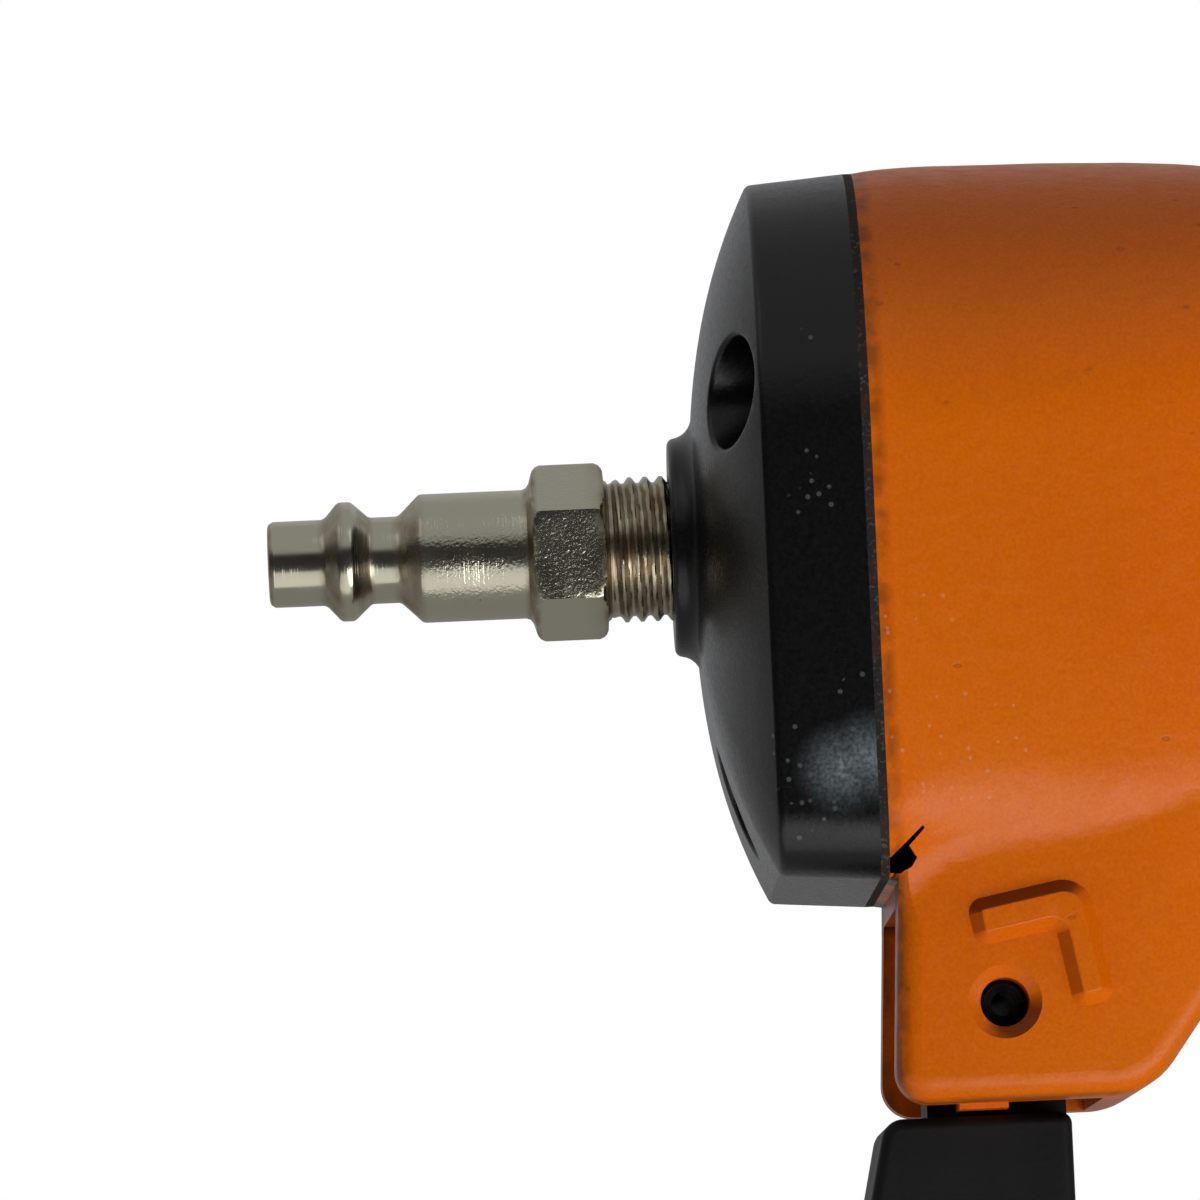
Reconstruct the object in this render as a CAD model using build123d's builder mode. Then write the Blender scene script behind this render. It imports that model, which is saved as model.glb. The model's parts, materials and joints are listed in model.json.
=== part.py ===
from build123d import *
import math
import os

os.makedirs("parts", exist_ok=True)

# Pneumatic stapler, in millimetres. The origin is the staple exit on the work face of
# the nose, +X runs forward from handle to nose, and +Z runs up along the drive axis.

# Fits
run_fit = 0.05        # radial room of a pin or shaft that turns or slides
press_room = 0.02     # radial room of a pin or screw that stays put
moving_gap = 0.4      # room between pieces that pass each other
rest_gap = 0.2        # room under a moving piece that rests on another

# Handle and tail, from the photograph
handle_height = 135.0
joint_x = -236.0
cap_half_width = 28.0
cap_half_height = 33.3
cap_foot_drop = 32.5
cap_crown_radius = 25.5
cap_foot_radius = 6.0
tail_wall = 6.0
gasket_thickness = 0.8
cap_band = 8.8
cap_draft = 0.98
dome_height = 6.3
dome_power = 2.7
boss_radius = 10.0
boss_reach = 17.8
tail_screw_circle = 23.7
tail_screw_bore = 5.0
tail_screw_seat = 3.2
cap_mouth_radius = 0.5
lug_half_width = 23.0
lug_slot_half_width = 16.0
lug_bottom = 52.6
lug_hole_x = 9.8
lug_hole_drop = 43.9
lug_hole_radius = 2.2
lug_seam_radius = 5.0
angle_tilt = 10.7
angle_height = 1.4
angle_slope = 38

# Air plug, quarter inch interchange pattern
plug_tip_radius = 3.95
plug_bore_radius = 2.8
plug_thread_radius = 6.7
plug_hex_across = 14.0
plug_hex_turn = 6.5      # where the tightened thread left the hexagon's top corner

# Head, built up from the cylinder bore
bore_radius = 25.0
sleeve_wall = 3.0
sleeve_radius = bore_radius + sleeve_wall
sleeve_air_gap = 3.5
chamber_radius = sleeve_radius + sleeve_air_gap
barrel_wall = 4.5
barrel_radius = chamber_radius + barrel_wall
junction_radius = 8.0
head_top = 196.0
head_half_side = barrel_radius + 0.5
head_corner_radius = 13.0
head_screw_reach = head_half_side - 9.5
chamber_floor = 100.0
head_floor = 84.0
nose_face = 72.0
top_gasket_thickness = 1.0

# Drive train
sleeve_bottom = 90.0
sleeve_top = 183.0
bumper_radius = bore_radius + 1.0
piston_bottom = 164.0
piston_height = 16.0
piston_boss_drop = 8.0
drive_stroke = 49.8
driver_width = 10.6
driver_thickness = 1.5
head_valve_lift = 6.0

# Magazine and staples, wide sixteen gauge staples with 40 mm legs
crown_width = 11.0
wire = 1.6
staple_count = 60
rail_half_width = 3.5
rail_top = 45.8
channel_half_width = 9.0
channel_wall = 2.0
channel_bottom = 3.0
channel_top = 56.0
channel_rear = joint_x - 7.0
drive_slot_depth = 0.9

# Nose
cheek_half_width = 16.0
cheek_rear = -18.0
plate_front = 6.5
flange_bottom = 64.0
contact_travel = 7.0

# Trigger
trigger_pivot_x = -45.0
trigger_pivot_z = 104.0
stem_x = -62.0
trigger_half_width = 7.3
trigger_wall = 1.8
valve_radius = 9.0
valve_bottom = 112.5
valve_height = 14.0
ear_bottom = 97.5
ear_half_width = 11.6


def keep(builder, label):
    """Label a finished piece and write its STEP file."""
    builder.part.label = label
    export_step(builder.part, f"parts/{label}.step")


def arch_face(x, half_width, foot_half_width, top, bottom, crown_radius, foot_radius, inset=0.0):
    """Face of an arch with a flat foot about the handle axis, on the YZ plane at x."""
    low = handle_height - bottom + inset
    high = handle_height + top - inset
    foot = max(foot_radius - inset, 0.4 * foot_radius)
    crown = crown_radius - inset
    with BuildSketch(Plane.YZ.offset(x)) as outline:
        with BuildLine():
            FilletPolyline(
                (-foot_half_width + inset, low),
                (foot_half_width - inset, low),
                (half_width - inset, high),
                (-half_width + inset, high),
                radius=(foot, foot, crown, crown),
                close=True,
            )
        make_face()
    return outline.sketch


def cap_face(x, share=1.0, inset=0.0):
    """Face of the tail cap's outline at x, scaled about the plug axis."""
    sides = (cap_half_width, cap_half_width, cap_half_height, cap_foot_drop)
    radii = (cap_crown_radius, cap_foot_radius)
    return arch_face(x, *[share * size for size in sides + radii], inset=inset)


def socket_screw(head_radius, head_length, shank_radius, shank_length):
    """Socket head screw with its seat at the origin, head along +Z and shank along -Z."""
    with BuildPart() as screw:
        Cylinder(head_radius, head_length, align=(Align.CENTER, Align.CENTER, Align.MIN))
        chamfer(screw.edges().sort_by(Axis.Z)[-1], head_length * 0.1)
        Cylinder(shank_radius, shank_length, align=(Align.CENTER, Align.CENTER, Align.MAX))
        with BuildSketch(Plane.XY.offset(head_length)):
            RegularPolygon(head_radius * 0.66, 6)
        extrude(amount=-head_length * 0.6, mode=Mode.SUBTRACT)
    return screw.part


def coil(coil_radius, wire_radius, turns, bottom, top, centre=(0.0, 0.0)):
    """Compression spring as one unbroken tube, its path made of half turn biarcs."""
    pitch = (top - bottom - 2 * wire_radius) / turns
    print(f"spring of {turns} turns, gap between turns {pitch - 2 * wire_radius:.2f} mm")

    def point(turn):
        angle = 2 * math.pi * turn
        height = bottom + wire_radius + pitch * turn
        return Vector(
            centre[0] + coil_radius * math.cos(angle),
            centre[1] + coil_radius * math.sin(angle),
            height,
        )

    def heading(turn):
        angle = 2 * math.pi * turn
        rise = pitch / (2 * math.pi)
        return Vector(-coil_radius * math.sin(angle), coil_radius * math.cos(angle), rise).normalized()

    with BuildPart() as spring:
        with BuildLine() as path:
            for half in range(int(2 * turns)):
                start, end = point(half / 2), point(half / 2 + 0.5)
                out, arrive = heading(half / 2), heading(half / 2 + 0.5)
                chord = end - start
                along = chord.dot(out + arrive)
                bend = 2 * (1 - out.dot(arrive))
                reach = (math.sqrt(along**2 + bend * chord.dot(chord)) - along) / bend
                first = start + out * reach
                second = end - arrive * reach
                middle = (first + second) * 0.5
                TangentArc(start, middle, tangent=out)
                TangentArc(middle, end, tangent=(second - first).normalized())
        with BuildSketch(Plane(origin=point(0), z_dir=heading(0))):
            Circle(wire_radius)
        sweep(path=path.wires()[0])
    return spring


# Tail of the housing: the arch stations of the casting, from the cap joint to the head
stations = (
    (
        joint_x,
        cap_half_width,
        cap_half_width,
        cap_half_height,
        cap_foot_drop,
        cap_crown_radius,
        cap_foot_radius,
    ),
    (joint_x + 9, 28.2, 25.0, 33.8, 35.5, 25.5, 14.0),
    (joint_x + 23, 27.4, 23.5, 33.5, 36.5, 24.5, 15.0),
    (joint_x + 33, 25.8, 22.0, 32.7, 34.0, 22.8, 14.0),
    (joint_x + 56, 21.0, 18.5, 27.2, 26.0, 18.4, 13.0),
    (joint_x + 81, 18.2, 17.0, 22.2, 21.0, 15.8, 13.5),
    (-barrel_radius - 79, 17.6, 16.8, 20.6, 20.2, 15.4, 13.5),
    (-barrel_radius - 44, 18.4, 17.4, 22.0, 22.0, 16.0, 13.0),
    (-barrel_radius - 14, 21.0, 19.0, 25.0, 22.5, 18.0, 12.0),
    (-barrel_radius + 16, 25.0, 22.0, 28.0, 24.0, 21.0, 12.0),
)
casting_wall = 4.5
tail_screw_angles = [math.radians(degrees) for degrees in (30, 150, 270)]
tail_screw_points = [
    (tail_screw_circle * math.cos(angle), handle_height + tail_screw_circle * math.sin(angle))
    for angle in tail_screw_angles
]
head_screw_points = [(sx * head_screw_reach, sy * head_screw_reach) for sx in (-1, 1) for sy in (-1, 1)]
nose_screw_points = [(-21.5, -19.5), (-21.5, 19.5), (14.0, -19.5), (14.0, 19.5)]
lug_hole = (joint_x + lug_hole_x, handle_height - lug_hole_drop)

with BuildPart() as handle_form:
    loft([arch_face(*station) for station in stations])

with BuildPart() as air_chamber:
    walls = [tail_wall if station[0] < joint_x + 30 else casting_wall for station in stations]
    loft([arch_face(*station, inset=wall) for station, wall in zip(stations, walls)])

with BuildPart() as lug_form:
    low = handle_height - lug_bottom
    with BuildSketch(Plane.XZ):
        with BuildLine():
            FilletPolyline(
                (joint_x + 1.6, handle_height - 18),
                (joint_x - 0.3, low),
                (joint_x + 22.6, low),
                (joint_x + 29.2, handle_height - 43.5),
                (joint_x + 32.5, handle_height - 26.5),
                (joint_x + 60, handle_height - 18),
                radius=(3.0, 7.0, 14.0, 16.0),
            )
            Line((joint_x + 60, handle_height - 18), (joint_x + 1.6, handle_height - 18))
        make_face()
    extrude(amount=lug_half_width, both=True)
    with BuildSketch(Plane.XY.offset(low - 1)):
        with BuildLine():
            Line((joint_x - 5, -lug_half_width), (joint_x + 20, -lug_half_width))
            TangentArc((joint_x + 20, -lug_half_width), (joint_x + 62, -14.5), tangent=(1, 0))
            Line((joint_x + 62, -14.5), (joint_x + 62, 14.5))
            TangentArc((joint_x + 20, lug_half_width), (joint_x + 62, 14.5), tangent=(1, 0))
            Line((joint_x - 5, lug_half_width), (joint_x + 20, lug_half_width))
            Line((joint_x - 5, -lug_half_width), (joint_x - 5, lug_half_width))
        make_face()
    extrude(amount=lug_bottom, mode=Mode.INTERSECT)

# Raised angle on the lug's side, over the hanger pin
with BuildPart() as lug_angle:
    angle_corner = Plane(
        origin=(joint_x + 17.5, -lug_half_width, handle_height - 32.8),
        x_dir=(math.cos(math.radians(angle_tilt)), 0, math.sin(math.radians(angle_tilt))),
        z_dir=(0, -1, 0),
    )
    with BuildSketch(angle_corner):
        with BuildLine():
            FilletPolyline(
                (0, 0),
                (-11.0, 0),
                (-11.0, -4.2),
                (-3.75, -4.2),
                (-3.75, -11.5),
                (0, -11.5),
                radius=(2.8, 1.3, 1.3, 0.5, 1.3, 1.3),
                close=True,
            )
        make_face()
    extrude(amount=angle_height, taper=angle_slope)
    fillet(lug_angle.faces().sort_by(Axis.Y)[0].edges(), 0.3)
    extrude(lug_angle.faces().sort_by(Axis.Y)[-1], amount=1.0)

with BuildPart() as tail_bosses:
    for y, z in tail_screw_points:
        with Locations(Plane(origin=(joint_x, y, z), z_dir=(1, 0, 0))):
            Cylinder(5.6, 24, align=(Align.CENTER, Align.CENTER, Align.MIN))
    add(handle_form.part, mode=Mode.INTERSECT)

with BuildPart() as body_casting:
    add(handle_form.part)
    with BuildSketch(Plane.XZ):
        with BuildLine():
            FilletPolyline(
                (0, 78),
                (barrel_radius - 9, 78),
                (barrel_radius, 96),
                (barrel_radius + 0.6, head_top - 6),
                (0, head_top - 6),
                radius=(4, 10, 0.5),
            )
            Line((0, head_top - 6), (0, 78))
        make_face()
    revolve(axis=Axis.Z)
    fillet(body_casting.edges(Select.NEW), junction_radius)
    add(lug_form.part)
    seam = body_casting.edges(Select.NEW)
    seam = seam.filter_by(lambda e: abs(e.center().Y) > lug_half_width - 2.7)
    seam = seam.filter_by(lambda e: e.center().X < joint_x + 38)
    seam = seam.filter_by(lambda e: e.center().Z > handle_height - cap_foot_drop)
    fillet(seam, lug_seam_radius)
    add(lug_angle.part)
    mirror(lug_angle.part, about=Plane.XZ)
    with BuildSketch(Plane.XY.offset(head_top - 12)):
        RectangleRounded(2 * head_half_side, 2 * head_half_side, head_corner_radius)
    extrude(amount=12)
    with Locations(*[(x, y, head_top - 12) for x, y in head_screw_points]):
        Cylinder(8.6, 32, align=(Align.CENTER, Align.CENTER, Align.MAX))
    with Locations(*[(x, y, head_top - 44) for x, y in head_screw_points]):
        Cone(1.0, 8.6, 16, align=(Align.CENTER, Align.CENTER, Align.MAX))
    with BuildSketch(Plane.XY.offset(nose_face)):
        with Locations((-3, 0)):
            RectangleRounded(46, 48, 6)
    extrude(amount=16)
    with BuildSketch(Plane.XZ.offset(-ear_half_width)):
        with BuildLine():
            FilletPolyline(
                (-30, 126),
                (-30, 100),
                (-38, ear_bottom),
                (-52, ear_bottom),
                (-57, 113),
                (-57, 126),
                radius=(4, 3, 3, 6),
            )
            Line((-57, 126), (-30, 126))
        make_face()
    extrude(amount=2 * ear_half_width)
    with Locations((0, 0, head_top)):
        Cylinder(
            chamber_radius,
            head_top - chamber_floor,
            align=(Align.CENTER, Align.CENTER, Align.MAX),
            mode=Mode.SUBTRACT,
        )
    add(air_chamber.part, mode=Mode.SUBTRACT)
    with Locations((stem_x, 0, valve_bottom)):
        Cylinder(13, 16, align=(Align.CENTER, Align.CENTER, Align.MIN))
    add(tail_bosses.part)
    with Locations((0, 0, sleeve_bottom)):
        Cylinder(
            sleeve_radius + press_room,
            chamber_floor - sleeve_bottom,
            align=(Align.CENTER, Align.CENTER, Align.MIN),
            mode=Mode.SUBTRACT,
        )
    with Locations((0, 0, head_floor)):
        Cylinder(
            bumper_radius,
            sleeve_bottom - head_floor,
            align=(Align.CENTER, Align.CENTER, Align.MIN),
            mode=Mode.SUBTRACT,
        )
    with Locations((0, 0, head_floor)):
        Box(4.4, 13.2, 30, align=(Align.CENTER, Align.CENTER, Align.MAX), mode=Mode.SUBTRACT)
    # finger room of the trigger between its two ears
    with BuildSketch(Plane.XZ.offset(-trigger_half_width - moving_gap)):
        with Locations((-59, valve_bottom)):
            Rectangle(23.5, 30, align=(Align.MIN, Align.MAX))
    extrude(amount=2 * (trigger_half_width + moving_gap), mode=Mode.SUBTRACT)
    with Locations(Plane(origin=(trigger_pivot_x, 0, trigger_pivot_z), z_dir=(0, 1, 0))):
        Cylinder(2.0 + press_room, 40, mode=Mode.SUBTRACT)
    with Locations((stem_x, 0, valve_bottom + valve_height)):
        Cylinder(
            valve_radius + press_room,
            valve_height + 5,
            align=(Align.CENTER, Align.CENTER, Align.MAX),
            mode=Mode.SUBTRACT,
        )
        Cylinder(2.8, 12, mode=Mode.SUBTRACT)
    # slot of the tail lug, with a rib on each ear round the hanger pin
    slot_roof = handle_height - cap_foot_drop - 2.3
    with Locations((joint_x + 18.5, 0, slot_roof)):
        Box(
            30,
            2 * lug_slot_half_width,
            30,
            align=(Align.MAX, Align.CENTER, Align.MAX),
            mode=Mode.SUBTRACT,
        )
    for side in (-1, 1):
        with Locations(Plane(origin=(lug_hole[0], side * 7.6, lug_hole[1]), z_dir=(0, side, 0))):
            Cylinder(5.0, lug_slot_half_width - 7.6, align=(Align.CENTER, Align.CENTER, Align.MIN))
        with Locations((lug_hole[0] - 2.0, side * 0.5 * (lug_slot_half_width + 7.6), lug_hole[1])):
            Box(
                4.4,
                lug_slot_half_width - 7.6,
                lug_bottom - lug_hole_drop + 0.5,
                align=(Align.CENTER, Align.CENTER, Align.MAX),
            )
    with Locations(Plane(origin=(lug_hole[0], 0, lug_hole[1]), z_dir=(0, 1, 0))):
        Cylinder(lug_hole_radius, 60, mode=Mode.SUBTRACT)
    for side in (-1, 1):
        with Locations(Plane(origin=(lug_hole[0], side * lug_half_width, lug_hole[1]), z_dir=(0, side, 0))):
            Cone(
                lug_hole_radius,
                lug_hole_radius + 1.1,
                0.9,
                align=(Align.CENTER, Align.CENTER, Align.MAX),
                mode=Mode.SUBTRACT,
            )
    for y, z in tail_screw_points:
        with Locations(Plane(origin=(joint_x, y, z), z_dir=(1, 0, 0))):
            Cylinder(
                2.5 + press_room,
                18,
                align=(Align.CENTER, Align.CENTER, Align.MIN),
                mode=Mode.SUBTRACT,
            )
    with Locations(*[(x, y, head_top) for x, y in head_screw_points]):
        Cylinder(2.5 + press_room, 22, align=(Align.CENTER, Align.CENTER, Align.MAX), mode=Mode.SUBTRACT)
    with Locations(*[(x, y, nose_face) for x, y in nose_screw_points]):
        Cylinder(2.5 + press_room, 12, align=(Align.CENTER, Align.CENTER, Align.MIN), mode=Mode.SUBTRACT)
keep(body_casting, "body_casting")

# Tail cap group
cap_face_x = joint_x - gasket_thickness
rim_x = cap_face_x - cap_band
boss_face_x = joint_x - boss_reach
cap_seat_x = cap_face_x - tail_screw_seat
tail_screw = socket_screw(4.25, 5.0, 2.5, 14.0)

with BuildPart() as tail_gasket:
    extrude(cap_face(cap_face_x), amount=gasket_thickness, dir=(1, 0, 0))
    extrude(cap_face(cap_face_x, inset=tail_wall), amount=gasket_thickness, dir=(1, 0, 0), mode=Mode.SUBTRACT)
    for y, z in tail_screw_points:
        with Locations(Plane(origin=(cap_face_x, y, z), z_dir=(1, 0, 0))):
            Cylinder(5.0, gasket_thickness, align=(Align.CENTER, Align.CENTER, Align.MIN))
    for y, z in tail_screw_points:
        with Locations(Plane(origin=(cap_face_x, y, z), z_dir=(1, 0, 0))):
            Cylinder(2.8, 4, mode=Mode.SUBTRACT)
keep(tail_gasket, "tail_gasket")

with BuildPart() as cap_bosses:
    for y, z in tail_screw_points + [(0, handle_height)]:
        with Locations(Plane(origin=(cap_face_x, y, z), z_dir=(-1, 0, 0))):
            boss = 7.0 if y or z != handle_height else 10.5
            Cylinder(boss, 7, align=(Align.CENTER, Align.CENTER, Align.MIN))
    loft([cap_face(rim_x, cap_draft), cap_face(cap_face_x)], ruled=True, mode=Mode.INTERSECT)

with BuildPart() as tail_cap:
    loft([cap_face(rim_x, cap_draft), cap_face(cap_face_x)], ruled=True)
    shares = (0.05, 0.3, 0.55, 0.75, 0.9, 1.0)
    loft([cap_face(rim_x - dome_height * (1 - s**dome_power), cap_draft * s) for s in shares])
    fillet(tail_cap.edges().filter_by_position(Axis.X, rim_x - 0.01, rim_x + 0.01), 0.8)
    with Locations(Plane(origin=(boss_face_x, 0, handle_height), z_dir=(1, 0, 0))):
        Cylinder(boss_radius, 8, align=(Align.CENTER, Align.CENTER, Align.MIN))
    fillet(tail_cap.edges(Select.NEW), 2.0)
    fillet(tail_cap.faces().sort_by(Axis.X)[0].edges(), 0.7)
    extrude(cap_face(cap_face_x, inset=tail_wall), amount=5.5, dir=(-1, 0, 0), mode=Mode.SUBTRACT)
    add(cap_bosses.part)
    with Locations(Plane(origin=(boss_face_x, 0, handle_height), z_dir=(1, 0, 0))):
        Cylinder(
            plug_thread_radius + press_room,
            40,
            align=(Align.CENTER, Align.CENTER, Align.MIN),
            mode=Mode.SUBTRACT,
        )
    for y, z in tail_screw_points:
        with Locations(Plane(origin=(cap_seat_x, y, z), z_dir=(-1, 0, 0))):
            Cylinder(
                tail_screw_bore,
                20,
                align=(Align.CENTER, Align.CENTER, Align.MIN),
                mode=Mode.SUBTRACT,
            )
            Cylinder(2.8, 20, mode=Mode.SUBTRACT)
    mouths = tail_cap.edges().filter_by(lambda e: e.center().X < cap_seat_x - 1.0)
    mouths = mouths.filter_by(lambda e: 10 < math.hypot(e.center().Y, e.center().Z - handle_height))
    mouths = mouths.filter_by(lambda e: 4 < e.length / tail_screw_bore < 8 and e.is_closed)
    fillet(mouths, cap_mouth_radius)
keep(tail_cap, "tail_cap")

with BuildPart() as tail_cap_screws:
    for y, z in tail_screw_points:
        with Locations(Plane(origin=(cap_seat_x, y, z), z_dir=(-1, 0, 0))):
            add(tail_screw)
keep(tail_cap_screws, "tail_cap_screws")

# Air plug, from its tip to the end of its thread inside the cap
plug_tip_x = joint_x - 54.7
with BuildPart() as air_plug:
    with BuildSketch(Plane.XZ):
        with BuildLine():
            Polyline(
                (plug_tip_x, handle_height + plug_bore_radius),
                (plug_tip_x, handle_height + plug_tip_radius - 0.5),
                (plug_tip_x + 0.5, handle_height + plug_tip_radius),
                (plug_tip_x + 5.3, handle_height + plug_tip_radius),
                (plug_tip_x + 6.7, handle_height + 5.5),
                (plug_tip_x + 7.9, handle_height + 5.5),
                (plug_tip_x + 9.5, handle_height + 4.0),
                (plug_tip_x + 12.1, handle_height + 4.0),
                (plug_tip_x + 14.1, handle_height + 6.05),
                (plug_tip_x + 24.0, handle_height + 6.05),
                (plug_tip_x + 24.3, handle_height + 5.8),
                (plug_tip_x + 26.0, handle_height + 5.8),
                (plug_tip_x + 31.2, handle_height + 6.3),
                (plug_tip_x + 32.2, handle_height + plug_thread_radius),
                (plug_tip_x + 46.0, handle_height + plug_thread_radius),
                (plug_tip_x + 47.0, handle_height + plug_thread_radius - 1.0),
                (plug_tip_x + 47.0, handle_height + plug_bore_radius),
                close=True,
            )
        make_face()
    revolve(axis=Axis((0, 0, handle_height), (1, 0, 0)))
    with BuildSketch(Plane(origin=(plug_tip_x + 24.3, 0, handle_height), x_dir=(0, 0, 1), z_dir=(1, 0, 0))):
        RegularPolygon(plug_hex_across / math.sqrt(3), 6, rotation=plug_hex_turn)
        Circle(5.0, mode=Mode.SUBTRACT)
    extrude(amount=6.6)
    with BuildSketch(Plane.XZ, mode=Mode.PRIVATE) as hex_envelope:
        with BuildLine():
            Polyline(
                (plug_tip_x - 1, handle_height),
                (plug_tip_x - 1, handle_height + 7.2),
                (plug_tip_x + 24.3, handle_height + 7.2),
                (plug_tip_x + 24.9, handle_height + 8.2),
                (plug_tip_x + 30.3, handle_height + 8.2),
                (plug_tip_x + 30.9, handle_height + 7.2),
                (plug_tip_x + 60, handle_height + 7.2),
                (plug_tip_x + 60, handle_height),
                close=True,
            )
        make_face()
    revolve(hex_envelope.sketch, axis=Axis((0, 0, handle_height), (1, 0, 0)), mode=Mode.INTERSECT)
keep(air_plug, "air_plug")

# Rubber grip over the handle
grip_front = -barrel_radius - 57
grip_rear = joint_x + 70
grip_thickness = 2.2
with BuildPart() as grip_sleeve:
    loft([arch_face(*station, inset=-grip_thickness) for station in stations[4:8]])
    with Locations((0.5 * (grip_front + grip_rear), 0, handle_height)):
        Box(grip_front - grip_rear, 90, 90, mode=Mode.INTERSECT)
    fillet(grip_sleeve.faces().filter_by(Axis.X).edges(), 1.2)
    add(handle_form.part, mode=Mode.SUBTRACT)
keep(grip_sleeve, "grip_sleeve")

# Head cap group
cap_bottom = head_top + top_gasket_thickness
cap_shoulder = cap_bottom + 16
cap_top = cap_bottom + 25
guide_radius = 20.25
guide_roof = cap_bottom + 19
head_screw = socket_screw(4.25, 5.0, 2.5, 26.0)
head_screw_seat = cap_shoulder - 6.5

with BuildPart() as top_gasket:
    with BuildSketch(Plane.XY.offset(head_top)):
        RectangleRounded(2 * head_half_side, 2 * head_half_side, head_corner_radius)
        Circle(chamber_radius, mode=Mode.SUBTRACT)
        with Locations(*head_screw_points):
            Circle(2.8, mode=Mode.SUBTRACT)
    extrude(amount=top_gasket_thickness)
keep(top_gasket, "top_gasket")

with BuildPart() as top_cap:
    with BuildSketch(Plane.XY.offset(cap_bottom)):
        RectangleRounded(2 * head_half_side, 2 * head_half_side, head_corner_radius)
    extrude(amount=cap_shoulder - cap_bottom, taper=3)
    fillet(top_cap.faces().sort_by(Axis.Z)[-1].edges(), 3.0)
    with BuildSketch(Plane.XZ):
        with BuildLine():
            Line((0, cap_shoulder - 2), (chamber_radius, cap_shoulder - 2))
            Line((chamber_radius, cap_shoulder - 2), (chamber_radius - 0.5, cap_shoulder + 2))
            RadiusArc((chamber_radius - 0.5, cap_shoulder + 2), (chamber_radius - 5.0, cap_top), -7.0)
            Line((chamber_radius - 5.0, cap_top), (0, cap_top))
            Line((0, cap_top), (0, cap_shoulder - 2))
        make_face()
    revolve(axis=Axis.Z)
    with Locations((0, 0, cap_bottom)):
        Cylinder(chamber_radius, 4, align=(Align.CENTER, Align.CENTER, Align.MIN), mode=Mode.SUBTRACT)
        Cylinder(
            guide_radius + run_fit,
            guide_roof - cap_bottom,
            align=(Align.CENTER, Align.CENTER, Align.MIN),
            mode=Mode.SUBTRACT,
        )
    with Locations((0, 0, cap_top)):
        Cylinder(3.0 + press_room, 20, mode=Mode.SUBTRACT)
        with PolarLocations(16.0, 6):
            Cylinder(2.6, 20, mode=Mode.SUBTRACT)
    with Locations(*[(x, y, head_screw_seat) for x, y in head_screw_points]):
        Cylinder(5.0, 20, align=(Align.CENTER, Align.CENTER, Align.MIN), mode=Mode.SUBTRACT)
        Cylinder(2.8, 40, mode=Mode.SUBTRACT)
keep(top_cap, "top_cap")

with BuildPart() as top_cap_screws:
    with Locations(*[(x, y, head_screw_seat) for x, y in head_screw_points]):
        add(head_screw)
keep(top_cap_screws, "top_cap_screws")

deflector_radius = chamber_radius - 6.0
deflector_bottom = cap_top + 0.3
deflector_top = cap_top + 12.5
with BuildPart() as exhaust_deflector:
    with Locations((0, 0, deflector_bottom)):
        Cylinder(
            deflector_radius,
            deflector_top - deflector_bottom,
            align=(Align.CENTER, Align.CENTER, Align.MIN),
        )
        fillet(exhaust_deflector.faces().sort_by(Axis.Z)[-1].edges(), 3.5)
        Cylinder(
            deflector_radius - 3.0,
            deflector_top - deflector_bottom - 3,
            align=(Align.CENTER, Align.CENTER, Align.MIN),
            mode=Mode.SUBTRACT,
        )
        Cylinder(6.5, deflector_top - deflector_bottom - 2, align=(Align.CENTER, Align.CENTER, Align.MIN))
    with Locations((deflector_radius - 1.5, 0, deflector_bottom + 1.5)):
        Box(16, 24, 6.5, align=(Align.CENTER, Align.CENTER, Align.MIN), mode=Mode.SUBTRACT)
    with Locations((0, 0, cap_top)):
        Cylinder(3.0 + run_fit, 60, mode=Mode.SUBTRACT)
keep(exhaust_deflector, "exhaust_deflector")

with BuildPart() as deflector_screw:
    with Locations((0, 0, deflector_top + rest_gap)):
        add(socket_screw(6.0, 3.6, 3.0, deflector_top + rest_gap - guide_roof - 0.5))
keep(deflector_screw, "deflector_screw")

# Head valve over the cylinder
valve_disc_bottom = sleeve_top + 3.0
valve_disc_top = valve_disc_bottom + 6.0
valve_guide_top = valve_disc_top + 15.0
spring_floor = valve_disc_top + 2.0
with BuildPart() as head_valve:
    with BuildSketch(Plane.XZ):
        with BuildLine():
            Polyline(
                (0, valve_disc_bottom),
                (chamber_radius - moving_gap, valve_disc_bottom),
                (chamber_radius - moving_gap, valve_disc_top),
                (guide_radius, valve_disc_top),
                (guide_radius, valve_disc_top + 8.0),
                (guide_radius - 2.2, valve_disc_top + 8.0),
                (guide_radius - 2.2, valve_disc_top + 10.6),
                (guide_radius, valve_disc_top + 10.6),
                (guide_radius, valve_guide_top),
                (13.5, valve_guide_top),
                (13.5, spring_floor),
                (0, spring_floor),
                close=True,
            )
        make_face()
    revolve(axis=Axis.Z)
keep(head_valve, "head_valve")

with BuildPart() as head_valve_o_ring:
    with Locations((0, 0, valve_disc_top + 9.3)):
        Torus(guide_radius - 1.05, 1.05)
keep(head_valve_o_ring, "head_valve_o_ring")

with BuildPart() as valve_seat_seal:
    with BuildSketch(Plane.XY.offset(sleeve_top + rest_gap)):
        Circle(chamber_radius - 1.0)
        Circle(bore_radius - 1.5, mode=Mode.SUBTRACT)
    extrude(amount=valve_disc_bottom - sleeve_top - rest_gap)
keep(valve_seat_seal, "valve_seat_seal")

head_valve_spring = coil(11.0, 0.9, 5, spring_floor, guide_roof)
keep(head_valve_spring, "head_valve_spring")

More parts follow.
